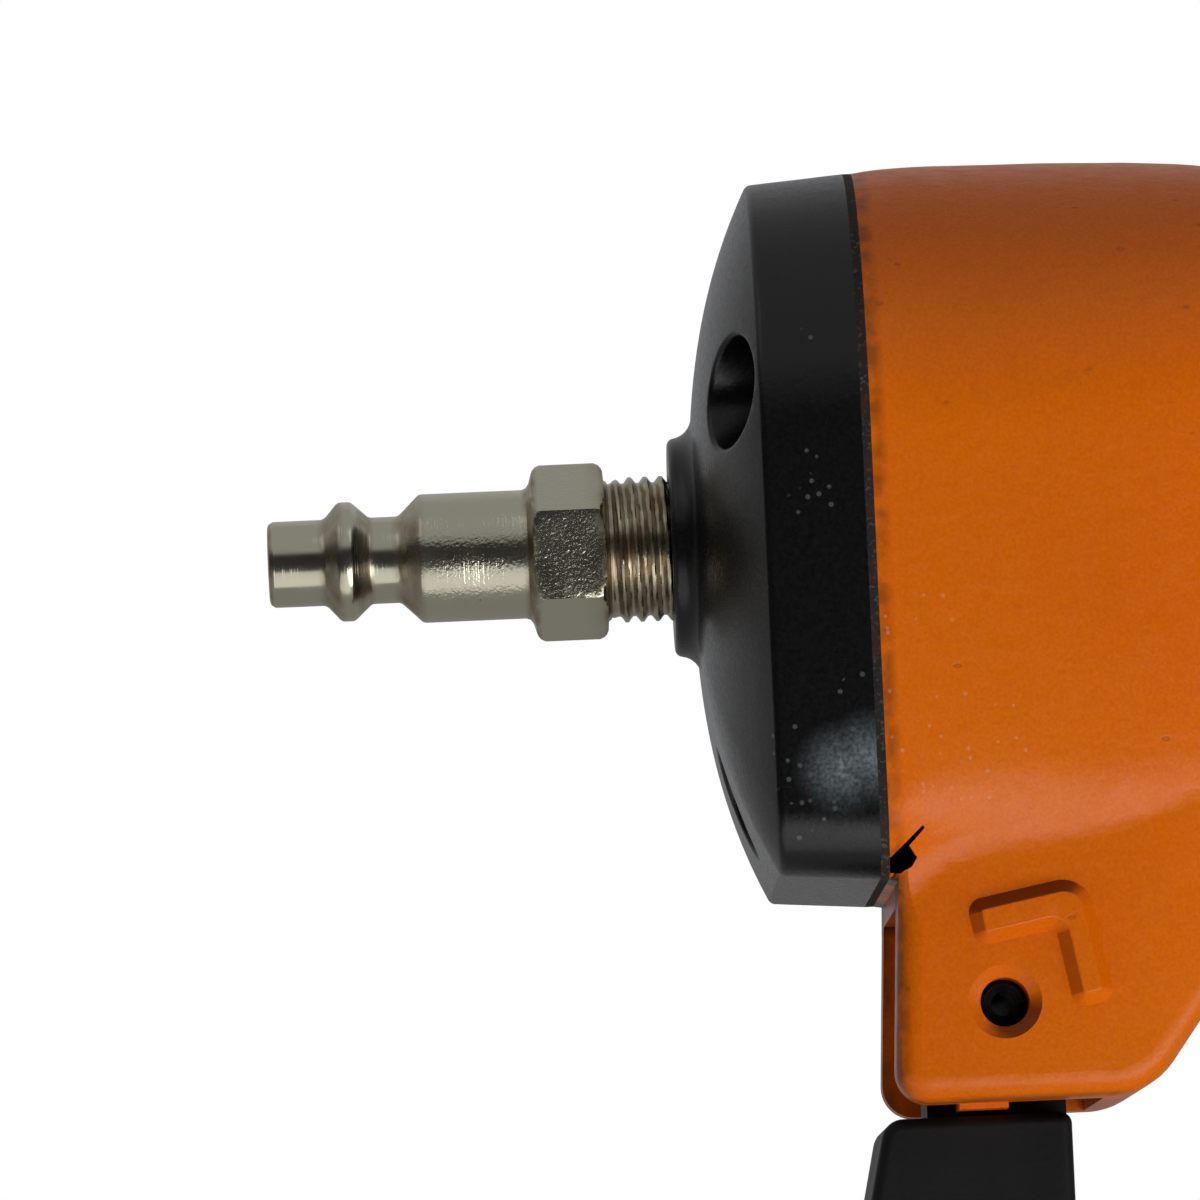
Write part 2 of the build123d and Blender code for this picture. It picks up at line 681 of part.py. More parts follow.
# Cylinder, piston and driver
with BuildPart() as cylinder_sleeve:
    with BuildSketch(Plane.XZ):
        with BuildLine():
            Polyline(
                (bore_radius, sleeve_bottom),
                (sleeve_radius, sleeve_bottom),
                (sleeve_radius, sleeve_bottom + 4.0),
                (sleeve_radius - 1.8, sleeve_bottom + 4.0),
                (sleeve_radius - 1.8, sleeve_bottom + 6.2),
                (sleeve_radius, sleeve_bottom + 6.2),
                (sleeve_radius, sleeve_top - 7.0),
                (chamber_radius - press_room, sleeve_top - 7.0),
                (chamber_radius - press_room, sleeve_top - 4.7),
                (chamber_radius - 1.9, sleeve_top - 4.7),
                (chamber_radius - 1.9, sleeve_top - 2.3),
                (chamber_radius - press_room, sleeve_top - 2.3),
                (chamber_radius - press_room, sleeve_top),
                (bore_radius, sleeve_top),
                close=True,
            )
        make_face()
    revolve(axis=Axis.Z)
    with Locations((0, 0, 120)):
        with PolarLocations(0, 8):
            with Locations(Plane(origin=(0, 0, 0), z_dir=(1, 0, 0))):
                Cylinder(1.6, 40, align=(Align.CENTER, Align.CENTER, Align.MIN), mode=Mode.SUBTRACT)
keep(cylinder_sleeve, "cylinder_sleeve")

with BuildPart() as cylinder_o_rings:
    with Locations((0, 0, sleeve_top - 3.5)):
        Torus(chamber_radius - 0.95, 0.9)
    with Locations((0, 0, sleeve_bottom + 5.1)):
        Torus(sleeve_radius - 0.9, 0.85)
keep(cylinder_o_rings, "cylinder_o_rings")

bumper_top = piston_bottom - drive_stroke - moving_gap
with BuildPart() as bumper:
    with BuildSketch(Plane.XZ):
        with BuildLine():
            FilletPolyline(
                (9.5, head_floor),
                (bumper_radius - press_room, head_floor),
                (bumper_radius - press_room, sleeve_bottom),
                (bore_radius - 0.3, sleeve_bottom),
                (bore_radius - 5.0, bumper_top),
                (9.5, bumper_top),
                radius=(0.0, 0.0, 0.0, 0.0, 2.0, 2.0),
                close=True,
            )
        make_face()
    revolve(axis=Axis.Z)
keep(bumper, "bumper")

boss_bottom = piston_bottom - piston_boss_drop
pin_height = piston_bottom - 4.0
with BuildPart() as piston:
    with BuildSketch(Plane.XZ):
        with BuildLine():
            Polyline(
                (0, boss_bottom),
                (8.0, boss_bottom),
                (8.0, piston_bottom),
                (bore_radius - 0.3, piston_bottom),
                (bore_radius - 0.3, piston_bottom + 6.6),
                (bore_radius - 2.6, piston_bottom + 6.6),
                (bore_radius - 2.6, piston_bottom + 9.4),
                (bore_radius - 0.3, piston_bottom + 9.4),
                (bore_radius - 0.3, piston_bottom + piston_height),
                (bore_radius - 7.0, piston_bottom + piston_height),
                (bore_radius - 9.0, piston_bottom + piston_height - 4.0),
                (0, piston_bottom + piston_height - 4.0),
                close=True,
            )
        make_face()
    revolve(axis=Axis.Z)
    with Locations((0, 0, boss_bottom)):
        Box(
            driver_thickness + 2 * press_room,
            12.0 + 2 * press_room,
            7.4,
            align=(Align.CENTER, Align.CENTER, Align.MIN),
            mode=Mode.SUBTRACT,
        )
    with Locations(Plane(origin=(0, 0, pin_height), z_dir=(1, 0, 0))):
        Cylinder(2.0 + press_room, 20, mode=Mode.SUBTRACT)
keep(piston, "piston")

with BuildPart() as piston_o_ring:
    with Locations((0, 0, piston_bottom + 8.0)):
        Torus(bore_radius - 1.13, 1.1)
keep(piston_o_ring, "piston_o_ring")

crown_top = rail_top + 0.2 + wire
driver_tip = crown_top + 1.8
with BuildPart() as driver_blade:
    with Locations((0, 0, driver_tip)):
        Box(
            driver_thickness,
            driver_width,
            boss_bottom + 7.4 - driver_tip,
            align=(Align.CENTER, Align.CENTER, Align.MIN),
        )
    with Locations((0, 0, boss_bottom)):
        Box(driver_thickness, 12.0, 7.4, align=(Align.CENTER, Align.CENTER, Align.MIN))
    with Locations(Plane(origin=(0, 0, pin_height), z_dir=(1, 0, 0))):
        Cylinder(2.0 + press_room, 20, mode=Mode.SUBTRACT)
keep(driver_blade, "driver_blade")

with BuildPart() as driver_pin:
    with Locations(Plane(origin=(0, 0, pin_height), z_dir=(1, 0, 0))):
        Cylinder(2.0, 15)
keep(driver_pin, "driver_pin")

# Trigger group
trigger_inner = trigger_half_width - trigger_wall
rocker_pivot = (-76.0, 98.8)
with BuildPart() as trigger:
    with BuildSketch(Plane.XZ):
        with BuildLine():
            FilletPolyline(
                (-40.5, 108.5),
                (-40.5, 100.5),
                (-47, 98.2),
                (-58, 97.0),
                (-72, 94.5),
                (-81, 88.5),
                (-87, 84.0),
                (-89, 87.0),
                (-85, 96.5),
                (-80, 101.3),
                (-47, 108.2),
                radius=(2.0, 4.0, 6.0, 12.0, 12.0, 10.0, 1.4, 1.4, 8.0, 3.0, 4.0),
                close=True,
            )
        make_face()
    extrude(amount=trigger_half_width, both=True)
    outer = trigger.faces().filter_by(Axis.Y).edges().filter_by(lambda e: e.center().Z < 99)
    fillet(outer, 1.2)
    with BuildSketch(Plane.XZ):
        with BuildLine():
            FilletPolyline(
                (-36, 120),
                (-36, 80),
                (-56, 80),
                (-56, 99.0),
                (-70, 96.9),
                (-81, 92.0),
                (-81, 120),
                radius=(0.0, 0.0, 0.0, 1.0, 6.0, 1.5, 0.0),
                close=True,
            )
        make_face()
    extrude(amount=trigger_inner, both=True, mode=Mode.SUBTRACT)
    with Locations(Plane(origin=(trigger_pivot_x, 0, trigger_pivot_z), z_dir=(0, 1, 0))):
        Cylinder(3.8, 2 * trigger_half_width)
        Cylinder(2.0 + run_fit, 40, mode=Mode.SUBTRACT)
    with Locations(Plane(origin=(rocker_pivot[0], 0, rocker_pivot[1]), z_dir=(0, 1, 0))):
        Cylinder(1.5 + press_room, 40, mode=Mode.SUBTRACT)
keep(trigger, "trigger")

with BuildPart() as trigger_pin:
    with Locations(Plane(origin=(trigger_pivot_x, -ear_half_width, trigger_pivot_z), z_dir=(0, 1, 0))):
        Cylinder(2.0, 2 * ear_half_width + 1.6, align=(Align.CENTER, Align.CENTER, Align.MIN))
        Cylinder(3.4, 1.5, align=(Align.CENTER, Align.CENTER, Align.MAX))
keep(trigger_pin, "trigger_pin")

with BuildPart() as trigger_clip:
    with BuildSketch(Plane(origin=(trigger_pivot_x, ear_half_width, trigger_pivot_z), z_dir=(0, 1, 0))):
        Circle(4.0)
        Circle(2.0 + press_room, mode=Mode.SUBTRACT)
        with Locations((3, 0)):
            Rectangle(4, 2.4, mode=Mode.SUBTRACT)
    extrude(amount=0.8)
keep(trigger_clip, "trigger_clip")

with BuildPart() as trigger_rocker:
    with BuildSketch(Plane.XZ):
        with BuildLine():
            FilletPolyline(
                (-50, 103.8),
                (-50, 105.8),
                (-63, 105.8),
                (-74, 101.8),
                (-78.5, 101.4),
                (-78.5, 96.6),
                (-74, 96.4),
                (-63, 103.8),
                radius=(0.8, 0.8, 3.0, 3.0, 2.2, 2.2, 3.0, 4.0),
                close=True,
            )
        make_face()
    extrude(amount=trigger_inner - moving_gap, both=True)
    with Locations(Plane(origin=(rocker_pivot[0], 0, rocker_pivot[1]), z_dir=(0, 1, 0))):
        Cylinder(1.5 + run_fit, 40, mode=Mode.SUBTRACT)
keep(trigger_rocker, "trigger_rocker")

with BuildPart() as rocker_pin:
    with Locations(Plane(origin=(rocker_pivot[0], 0, rocker_pivot[1]), z_dir=(0, 1, 0))):
        Cylinder(1.5, 2 * trigger_half_width)
keep(rocker_pin, "rocker_pin")

valve_top = valve_bottom + valve_height
with BuildPart() as trigger_valve_body:
    with BuildSketch(Plane.XZ):
        with BuildLine():
            Polyline(
                (stem_x + 2.2 + run_fit, valve_bottom),
                (stem_x + valve_radius, valve_bottom),
                (stem_x + valve_radius, valve_bottom + 3.0),
                (stem_x + 7.4, valve_bottom + 3.0),
                (stem_x + 7.4, valve_bottom + 5.0),
                (stem_x + valve_radius, valve_bottom + 5.0),
                (stem_x + valve_radius, valve_bottom + 9.0),
                (stem_x + 7.4, valve_bottom + 9.0),
                (stem_x + 7.4, valve_bottom + 11.0),
                (stem_x + valve_radius, valve_bottom + 11.0),
                (stem_x + valve_radius, valve_top),
                (stem_x + 5.0, valve_top),
                (stem_x + 5.0, valve_bottom + 3.5),
                (stem_x + 2.2 + run_fit, valve_bottom + 3.5),
                close=True,
            )
        make_face()
    revolve(axis=Axis((stem_x, 0, 0), (0, 0, 1)))
keep(trigger_valve_body, "trigger_valve_body")

with BuildPart() as valve_o_rings:
    with Locations((stem_x, 0, valve_bottom + 4.0), (stem_x, 0, valve_bottom + 10.0)):
        Torus(8.22, 0.75)
keep(valve_o_rings, "valve_o_rings")

stem_collar = valve_bottom + 3.5 + rest_gap
with BuildPart() as valve_stem:
    with Locations((stem_x, 0, valve_bottom - 3.9)):
        Cylinder(2.2, stem_collar - valve_bottom + 3.9, align=(Align.CENTER, Align.CENTER, Align.MIN))
    with Locations((stem_x, 0, stem_collar)):
        Cylinder(4.4, 2.6, align=(Align.CENTER, Align.CENTER, Align.MIN))
        Cylinder(2.0, 6.4, align=(Align.CENTER, Align.CENTER, Align.MIN))
    fillet(valve_stem.faces().sort_by(Axis.Z)[0].edges(), 0.8)
keep(valve_stem, "valve_stem")

valve_spring = coil(3.3, 0.4, 4, stem_collar + 2.6, valve_top, (stem_x, 0.0))
keep(valve_spring, "valve_spring")

# Nose
cheek_inner = channel_half_width + 0.2
front_screw_points = [(y, z) for y in (-11.8, 11.8) for z in (14.0, 50.0)]
guide_screw_heights = (12.0, 27.0)
magazine_screw = (-10.0, 29.0)
with BuildPart() as nose_base:
    with BuildSketch(Plane.XY.offset(flange_bottom)):
        with Locations((-3, 0)):
            RectangleRounded(46, 48, 6)
    extrude(amount=nose_face - flange_bottom)
    for side in (-1, 1):
        with BuildSketch(Plane.XZ.offset(-side * cheek_inner)):
            with BuildLine():
                FilletPolyline(
                    (-drive_slot_depth, flange_bottom + 2),
                    (-drive_slot_depth, 0),
                    (cheek_rear + 7, 0),
                    (cheek_rear, 14),
                    (cheek_rear, flange_bottom + 2),
                    radius=(0.0, 3.0, 6.0),
                )
                Line((cheek_rear, flange_bottom + 2), (-drive_slot_depth, flange_bottom + 2))
            make_face()
        extrude(amount=-side * (cheek_half_width - cheek_inner))
    with Locations((0, 0, flange_bottom)):
        Box(3.0, 12.6, 40, mode=Mode.SUBTRACT)
    with Locations(*[(x, y, flange_bottom) for x, y in nose_screw_points]):
        Cylinder(2.8, 40, mode=Mode.SUBTRACT)
    for y, z in front_screw_points:
        with Locations(Plane(origin=(0, y, z), z_dir=(-1, 0, 0))):
            Cylinder(
                2.0 + press_room,
                13.4,
                align=(Align.CENTER, Align.CENTER, Align.MIN),
                mode=Mode.SUBTRACT,
            )
    with Locations(Plane(origin=(magazine_screw[0], 0, magazine_screw[1]), z_dir=(0, 1, 0))):
        Cylinder(2.0 + press_room, 60, mode=Mode.SUBTRACT)
keep(nose_base, "nose_base")

with BuildPart() as nose_screws:
    for x, y in nose_screw_points:
        with Locations(Plane(origin=(x, y, flange_bottom), z_dir=(0, 0, -1))):
            add(socket_screw(4.25, 5.0, 2.5, nose_face - flange_bottom + 10))
keep(nose_screws, "nose_screws")

with BuildPart() as nose_front_plate:
    with BuildSketch(Plane.YZ.offset(-drive_slot_depth)):
        with BuildLine():
            FilletPolyline(
                (-10.5, 0),
                (10.5, 0),
                (cheek_half_width, 9),
                (cheek_half_width, flange_bottom),
                (-cheek_half_width, flange_bottom),
                (-cheek_half_width, 9),
                radius=(1.5, 3.0, 1.0, 1.0, 3.0, 1.5),
                close=True,
            )
        make_face()
    extrude(amount=plate_front + drive_slot_depth)
    front_rim = nose_front_plate.faces().sort_by(Axis.X)[-1].edges()
    chamfer(front_rim, 0.8)
    with Locations((0, 0, 0)):
        Box(2 * drive_slot_depth, crown_width + 0.5, 2 * flange_bottom + 4, mode=Mode.SUBTRACT)
    for y, z in front_screw_points:
        with Locations(Plane(origin=(plate_front - 4.2, y, z), z_dir=(1, 0, 0))):
            Cylinder(3.8, 10, align=(Align.CENTER, Align.CENTER, Align.MIN), mode=Mode.SUBTRACT)
            Cylinder(2.2, 40, mode=Mode.SUBTRACT)
    for z in guide_screw_heights:
        with Locations(Plane(origin=(plate_front, 0, z), z_dir=(-1, 0, 0))):
            Cylinder(2.0 + press_room, 4.6, align=(Align.CENTER, Align.CENTER, Align.MIN), mode=Mode.SUBTRACT)
keep(nose_front_plate, "nose_front_plate")

with BuildPart() as front_plate_screws:
    for y, z in front_screw_points:
        with Locations(Plane(origin=(plate_front - 4.2, y, z), z_dir=(1, 0, 0))):
            add(socket_screw(3.5, 4.0, 2.0, 15.0))
keep(front_plate_screws, "front_plate_screws")

# Contact foot, which must be pressed on the work before the trigger fires
foot_back = plate_front + moving_gap
foot_sheet = 2.0
foot_side = cheek_half_width + 1.2
tongue_top = 100.0
with BuildPart() as contact_foot:
    with BuildSketch(Plane.YZ.offset(foot_back)):
        with BuildLine():
            FilletPolyline(
                (-6, -6),
                (6, -6),
                (9, 1),
                (9, 44),
                (-foot_side - foot_sheet, 44),
                (-foot_side - foot_sheet, 35),
                (-9, 35),
                (-9, 1),
                radius=(2.0, 3.0, 3.0, 0.0, 0.0, 3.0, 3.0, 2.0),
                close=True,
            )
        make_face()
    extrude(amount=foot_sheet)
    with BuildSketch(Plane.XZ.offset(foot_side)):
        with BuildLine():
            FilletPolyline(
                (foot_back + foot_sheet, 35),
                (foot_back + foot_sheet, 44),
                (-43, 44),
                (-43, 78),
                (-54, 78),
                (-54, 35),
                radius=(0.0, 4.0, 0.0, 0.0, 5.0, 0.0),
                close=True,
            )
        make_face()
    extrude(amount=foot_sheet)
    with Locations((-54, -foot_side - foot_sheet, 78)):
        Box(13, foot_side + foot_sheet + 4, foot_sheet, align=(Align.MIN, Align.MIN, Align.MAX))
    with Locations((-53.5, 0, 76)):
        Box(3, 6, tongue_top - 76, align=(Align.MIN, Align.CENTER, Align.MIN))
    for z in guide_screw_heights:
        with BuildSketch(Plane.YZ.offset(foot_back)):
            with Locations((0, z - 0.5 * contact_travel)):
                SlotCenterToCenter(contact_travel, 2 * (3.0 + run_fit), rotation=90)
        extrude(amount=foot_sheet, mode=Mode.SUBTRACT)
    foot_face_y = -foot_side - foot_sheet
    bends = contact_foot.edges().filter_by(Axis.Z)
    bends = bends.filter_by_position(Axis.X, foot_back + foot_sheet - 0.1, 20)
    fillet(bends.filter_by_position(Axis.Y, foot_face_y - 0.1, foot_face_y + 0.1), 1.8)
keep(contact_foot, "contact_foot")

with BuildPart() as contact_guide_screws:
    for z in guide_screw_heights:
        with Locations(Plane(origin=(foot_back + foot_sheet + rest_gap, 0, z), z_dir=(1, 0, 0))):
            add(socket_screw(4.8, 2.6, 3.0, foot_sheet + rest_gap + moving_gap))
        with Locations(Plane(origin=(plate_front, 0, z), z_dir=(-1, 0, 0))):
            Cylinder(2.0, 4.4, align=(Align.CENTER, Align.CENTER, Align.MIN))
keep(contact_guide_screws, "contact_guide_screws")

contact_spring = coil(3.0, 0.5, 6, 78.0, ear_bottom, (-45.0, -9.6))
keep(contact_spring, "contact_spring")

# Magazine
channel_front = -drive_slot_depth
channel_length = channel_front - channel_rear
bracket_bolt_points = [(joint_x + 1.5, 49.6), (joint_x + 11.5, 49.6)]
rail_screw_xs = (-28.0, channel_rear + 29.0)
rail_screw_head = 3.4
with BuildPart() as magazine_channel:
    with BuildSketch(Plane.YZ.offset(channel_rear)):
        with BuildLine():
            FilletPolyline(
                (-channel_half_width, channel_top),
                (-channel_half_width, channel_bottom),
                (channel_half_width, channel_bottom),
                (channel_half_width, channel_top),
                (channel_half_width - channel_wall, channel_top),
                (channel_half_width - channel_wall, channel_bottom + channel_wall),
                (-channel_half_width + channel_wall, channel_bottom + channel_wall),
                (-channel_half_width + channel_wall, channel_top),
                radius=(0.6, 2.2, 2.2, 0.6, 0.6, 0.3, 0.3, 0.6),
                close=True,
            )
        make_face()
    extrude(amount=channel_length)
    for number in range(5):
        with BuildSketch(Plane(origin=(-42 - 34 * number, 0, 27), x_dir=(1, 0, 0), z_dir=(0, 1, 0))):
            SlotOverall(22, 8)
        extrude(amount=20, both=True, mode=Mode.SUBTRACT)
    for x in rail_screw_xs:
        with Locations((x, 0, channel_bottom)):
            Cylinder(2.2, 10, mode=Mode.SUBTRACT)
            Cone(
                rail_screw_head + rest_gap,
                2.0,
                rail_screw_head - 2.0 + rest_gap,
                align=(Align.CENTER, Align.CENTER, Align.MIN),
                mode=Mode.SUBTRACT,
            )
    for x, z in bracket_bolt_points + [magazine_screw]:
        with Locations(Plane(origin=(x, 0, z), z_dir=(0, 1, 0))):
            Cylinder(2.0 + press_room, 60, mode=Mode.SUBTRACT)
keep(magazine_channel, "magazine_channel")

band_floor = rail_top - 1.0
rail_front = channel_front - 0.3
end_plug_length = 5.6
rail_rear = channel_rear + end_plug_length + rest_gap
band_front = -8.0
rail_floor = channel_bottom + channel_wall
rail_hollow_front = -36.0
rail_hollow_rear = rail_rear + 31.2
with BuildPart() as staple_rail:
    with Locations((rail_front, 0, rail_floor)):
        Box(
            rail_front - rail_rear,
            2 * rail_half_width,
            rail_top - rail_floor,
            align=(Align.MAX, Align.CENTER, Align.MIN),
        )
    fillet(staple_rail.edges().filter_by(Axis.X).group_by(Axis.Z)[-1], 0.5)
    with Locations((rail_hollow_front, 0, rail_floor)):
        Box(
            rail_hollow_front - rail_hollow_rear,
            2 * rail_half_width - 3.0,
            37.5,
            align=(Align.MAX, Align.CENTER, Align.MIN),
            mode=Mode.SUBTRACT,
        )
    with Locations((band_front, 0, rail_top)):
        Box(
            band_front - rail_rear - 1.2,
            5.4,
            2 * (rail_top - band_floor),
            align=(Align.MAX, Align.CENTER, Align.CENTER),
            mode=Mode.SUBTRACT,
        )
    for x in rail_screw_xs:
        with Locations((x, 0, rail_floor)):
            Cylinder(2.0 + press_room, 9, align=(Align.CENTER, Align.CENTER, Align.MIN), mode=Mode.SUBTRACT)
keep(staple_rail, "staple_rail")

# Moulded block that closes the rear of the channel, held by the rear bracket bolt
with BuildPart() as magazine_end_block:
    with BuildSketch(Plane.YZ.offset(channel_rear)):
        with Locations((0, 0.5 * (channel_bottom + channel_top))):
            RectangleRounded(2 * channel_half_width, channel_top - channel_bottom, 2.2)
    extrude(amount=-2.4)
    chamfer(magazine_end_block.faces().sort_by(Axis.X)[0].edges(), 0.6)
    plug_width = 2 * (channel_half_width - channel_wall - press_room)
    with Locations((channel_rear, 0, rail_floor + rest_gap)):
        Box(
            end_plug_length,
            plug_width,
            channel_top - 1.0 - rail_floor - rest_gap,
            align=(Align.MIN, Align.CENTER, Align.MIN),
        )
    with Locations((channel_rear, 0, rail_top + rest_gap)):
        Box(
            12.5,
            plug_width,
            channel_top - 1.0 - rail_top - rest_gap,
            align=(Align.MIN, Align.CENTER, Align.MIN),
        )
    with Locations(Plane(origin=(bracket_bolt_points[0][0], 0, bracket_bolt_points[0][1]), z_dir=(0, 1, 0))):
        Cylinder(2.0 + press_room, 60, mode=Mode.SUBTRACT)
keep(magazine_end_block, "magazine_end_block")

with BuildPart() as rail_screws:
    for x in rail_screw_xs:
        with Locations((x, 0, channel_bottom + rest_gap)):
            Cone(
                rail_screw_head,
                2.0,
                rail_screw_head - 2.0,
                align=(Align.CENTER, Align.CENTER, Align.MIN),
            )
            Cylinder(2.0, 10.0, align=(Align.CENTER, Align.CENTER, Align.MIN))
        with BuildSketch(Plane.XY.offset(channel_bottom + rest_gap)):
            with Locations((x, 0)):
                RegularPolygon(1.45, 6)
        extrude(amount=1.2, mode=Mode.SUBTRACT)
keep(rail_screws, "rail_screws")

strip_front = channel_front - 0.4
strip_length = staple_count * wire
leg_bottom = crown_top - 40.0
with BuildPart() as staple_strip:
    with BuildSketch(Plane.YZ.offset(strip_front - strip_length)):
        with BuildLine():
            FilletPolyline(
                (-0.5 * crown_width, leg_bottom),
                (-0.5 * crown_width, crown_top),
                (0.5 * crown_width, crown_top),
                (0.5 * crown_width, leg_bottom),
                (0.5 * crown_width - wire, leg_bottom + 1.2),
                (0.5 * crown_width - wire, crown_top - wire),
                (-0.5 * crown_width + wire, crown_top - wire),
                (-0.5 * crown_width + wire, leg_bottom + 1.2),
                radius=(0.0, 0.9, 0.9, 0.0, 0.0, 0.3, 0.3, 0.0),
                close=True,
            )
        make_face()
    extrude(amount=strip_length)
keep(staple_strip, "staple_strip")

pusher_front = strip_front - strip_length - rest_gap
pusher_length = 26.0
band_thickness = 0.25
band_room = 0.1
drum_radius = 6.0
drum_centre = (pusher_front - 13.0, band_floor + 2 * band_room + band_thickness + drum_radius)
with BuildPart() as pusher:
    for side in (-1, 1):
        with Locations((pusher_front, side * (rail_half_width + moving_gap), 10.0)):
            Box(
                pusher_length,
                0.5 * crown_width - rail_half_width - moving_gap,
                crown_top - 10.0,
                align=(Align.MAX, Align.MIN if side > 0 else Align.MAX, Align.MIN),
            )
    with Locations((pusher_front, 0, rail_top + moving_gap)):
        Box(
            pusher_length,
            crown_width,
            channel_top + 1.0 - rail_top - moving_gap,
            align=(Align.MAX, Align.CENTER, Align.MIN),
        )
    with BuildSketch(Plane.XY.offset(channel_top + moving_gap)):
        with Locations((pusher_front - 0.5 * pusher_length, 0)):
            RectangleRounded(pusher_length, 2 * channel_half_width, 3.0)
    extrude(amount=9.5, taper=6)
    fillet(pusher.faces().sort_by(Axis.Z)[-1].edges(), 2.0)
    with Locations(Plane(origin=(drum_centre[0], 0, drum_centre[1]), z_dir=(0, 1, 0))):
        Cylinder(drum_radius + moving_gap, 6.0, mode=Mode.SUBTRACT)
    with Locations((drum_centre[0], 0, rail_top)):
        Box(
            2 * (drum_radius + moving_gap),
            6.0,
            drum_centre[1] - rail_top,
            align=(Align.CENTER, Align.CENTER, Align.MIN),
            mode=Mode.SUBTRACT,
        )
    with Locations(Plane(origin=(drum_centre[0], 0, drum_centre[1]), z_dir=(0, 1, 0))):
        Cylinder(drum_radius - 2.2 - rest_gap, 6.4)
    for number in range(4):
        with Locations((pusher_front - 7.0 - 4.0 * number, 0, channel_top + moving_gap + 9.5)):
            Box(1.6, 30, 2.0, mode=Mode.SUBTRACT)
keep(pusher, "pusher")

with BuildPart() as pusher_spring:
    with BuildSketch(Plane(origin=(drum_centre[0], 0, drum_centre[1]), z_dir=(0, 1, 0))):
        Circle(drum_radius)
        Circle(drum_radius - 2.2, mode=Mode.SUBTRACT)
    extrude(amount=2.5, both=True)
keep(pusher_spring, "pusher_spring")

with BuildPart() as pusher_band:
    with Locations((drum_centre[0], 0, band_floor + band_room)):
        Box(
            band_front - band_room - drum_centre[0],
            5.0,
            band_thickness,
            align=(Align.MIN, Align.CENTER, Align.MIN),
        )
keep(pusher_band, "pusher_band")

with BuildPart() as magazine_front_screws:
    for side in (-1, 1):
        with Locations(
            Plane(
                origin=(magazine_screw[0], side * cheek_half_width, magazine_screw[1]),
                z_dir=(0, side, 0),
            )
        ):
            add(socket_screw(3.5, 2.4, 2.0, cheek_half_width - channel_half_width + channel_wall))
keep(magazine_front_screws, "magazine_front_screws")

# Bracket that hangs the magazine's rear end from the tail lug
bracket_top = handle_height - lug_bottom - 1.0
bracket_half_width = 13.0
bracket_rear_foot = joint_x - 6.6
bracket_front = joint_x + 15.8
tongue_rear = joint_x + 3.0
tongue_front = joint_x + 15.6
with BuildPart() as tail_bracket:
    with BuildSketch(Plane.XZ):
        with BuildLine():
            FilletPolyline(
                (joint_x - 1.0, bracket_top),
                (bracket_front, bracket_top),
                (bracket_front, 42),
                (bracket_rear_foot, 42),
                (bracket_rear_foot, channel_top),
                radius=(2.0, 1.0, 3.0, 3.0, 12.0),
                close=True,
            )
        make_face()
    extrude(amount=bracket_half_width, both=True)
    fillet(tail_bracket.faces().filter_by(Axis.Y).edges(), 1.0)
    with BuildSketch(Plane.XZ):
        with BuildLine():
            FilletPolyline(
                (tongue_rear, bracket_top - 3),
                (tongue_rear, lug_hole[1] + 5.5),
                (tongue_front, lug_hole[1] + 5.5),
                (tongue_front, bracket_top - 3),
                radius=(5.0, 5.0),
            )
            Line((tongue_front, bracket_top - 3), (tongue_rear, bracket_top - 3))
        make_face()
    extrude(amount=7.2, both=True)
    with Locations((joint_x, 0, channel_top)):
        Box(
            80,
            2 * (channel_half_width + press_room),
            40,
            align=(Align.CENTER, Align.CENTER, Align.MAX),
            mode=Mode.SUBTRACT,
        )
    with Locations(Plane(origin=(lug_hole[0], 0, lug_hole[1]), z_dir=(0, 1, 0))):
        Cylinder(lug_hole_radius, 60, mode=Mode.SUBTRACT)
    for x, z in bracket_bolt_points:
        with Locations(Plane(origin=(x, 0, z), z_dir=(0, 1, 0))):
            Cylinder(2.0 + press_room, 60, mode=Mode.SUBTRACT)
keep(tail_bracket, "tail_bracket")

with BuildPart() as hanger_pin:
    with Locations(Plane(origin=(lug_hole[0], 0, lug_hole[1]), z_dir=(0, 1, 0))):
        Cylinder(lug_hole_radius - press_room, 37)
        Cylinder(lug_hole_radius - 0.8, 60, mode=Mode.SUBTRACT)
keep(hanger_pin, "hanger_pin")

with BuildPart() as bracket_bolts:
    for x, z in bracket_bolt_points:
        with Locations(Plane(origin=(x, -bracket_half_width, z), z_dir=(0, -1, 0))):
            add(socket_screw(3.6, 2.6, 2.0, 2 * bracket_half_width + 3.6))
keep(bracket_bolts, "bracket_bolts")

with BuildPart() as bracket_nuts:
    for x, z in bracket_bolt_points:
        with BuildSketch(Plane(origin=(x, bracket_half_width, z), z_dir=(0, 1, 0))):
            RegularPolygon(4.0, 6)
            Circle(2.0 + press_room, mode=Mode.SUBTRACT)
    extrude(amount=3.2)
keep(bracket_nuts, "bracket_nuts")
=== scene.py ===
import json
import math
import random

import bmesh
import bpy
from mathutils import Matrix, Vector


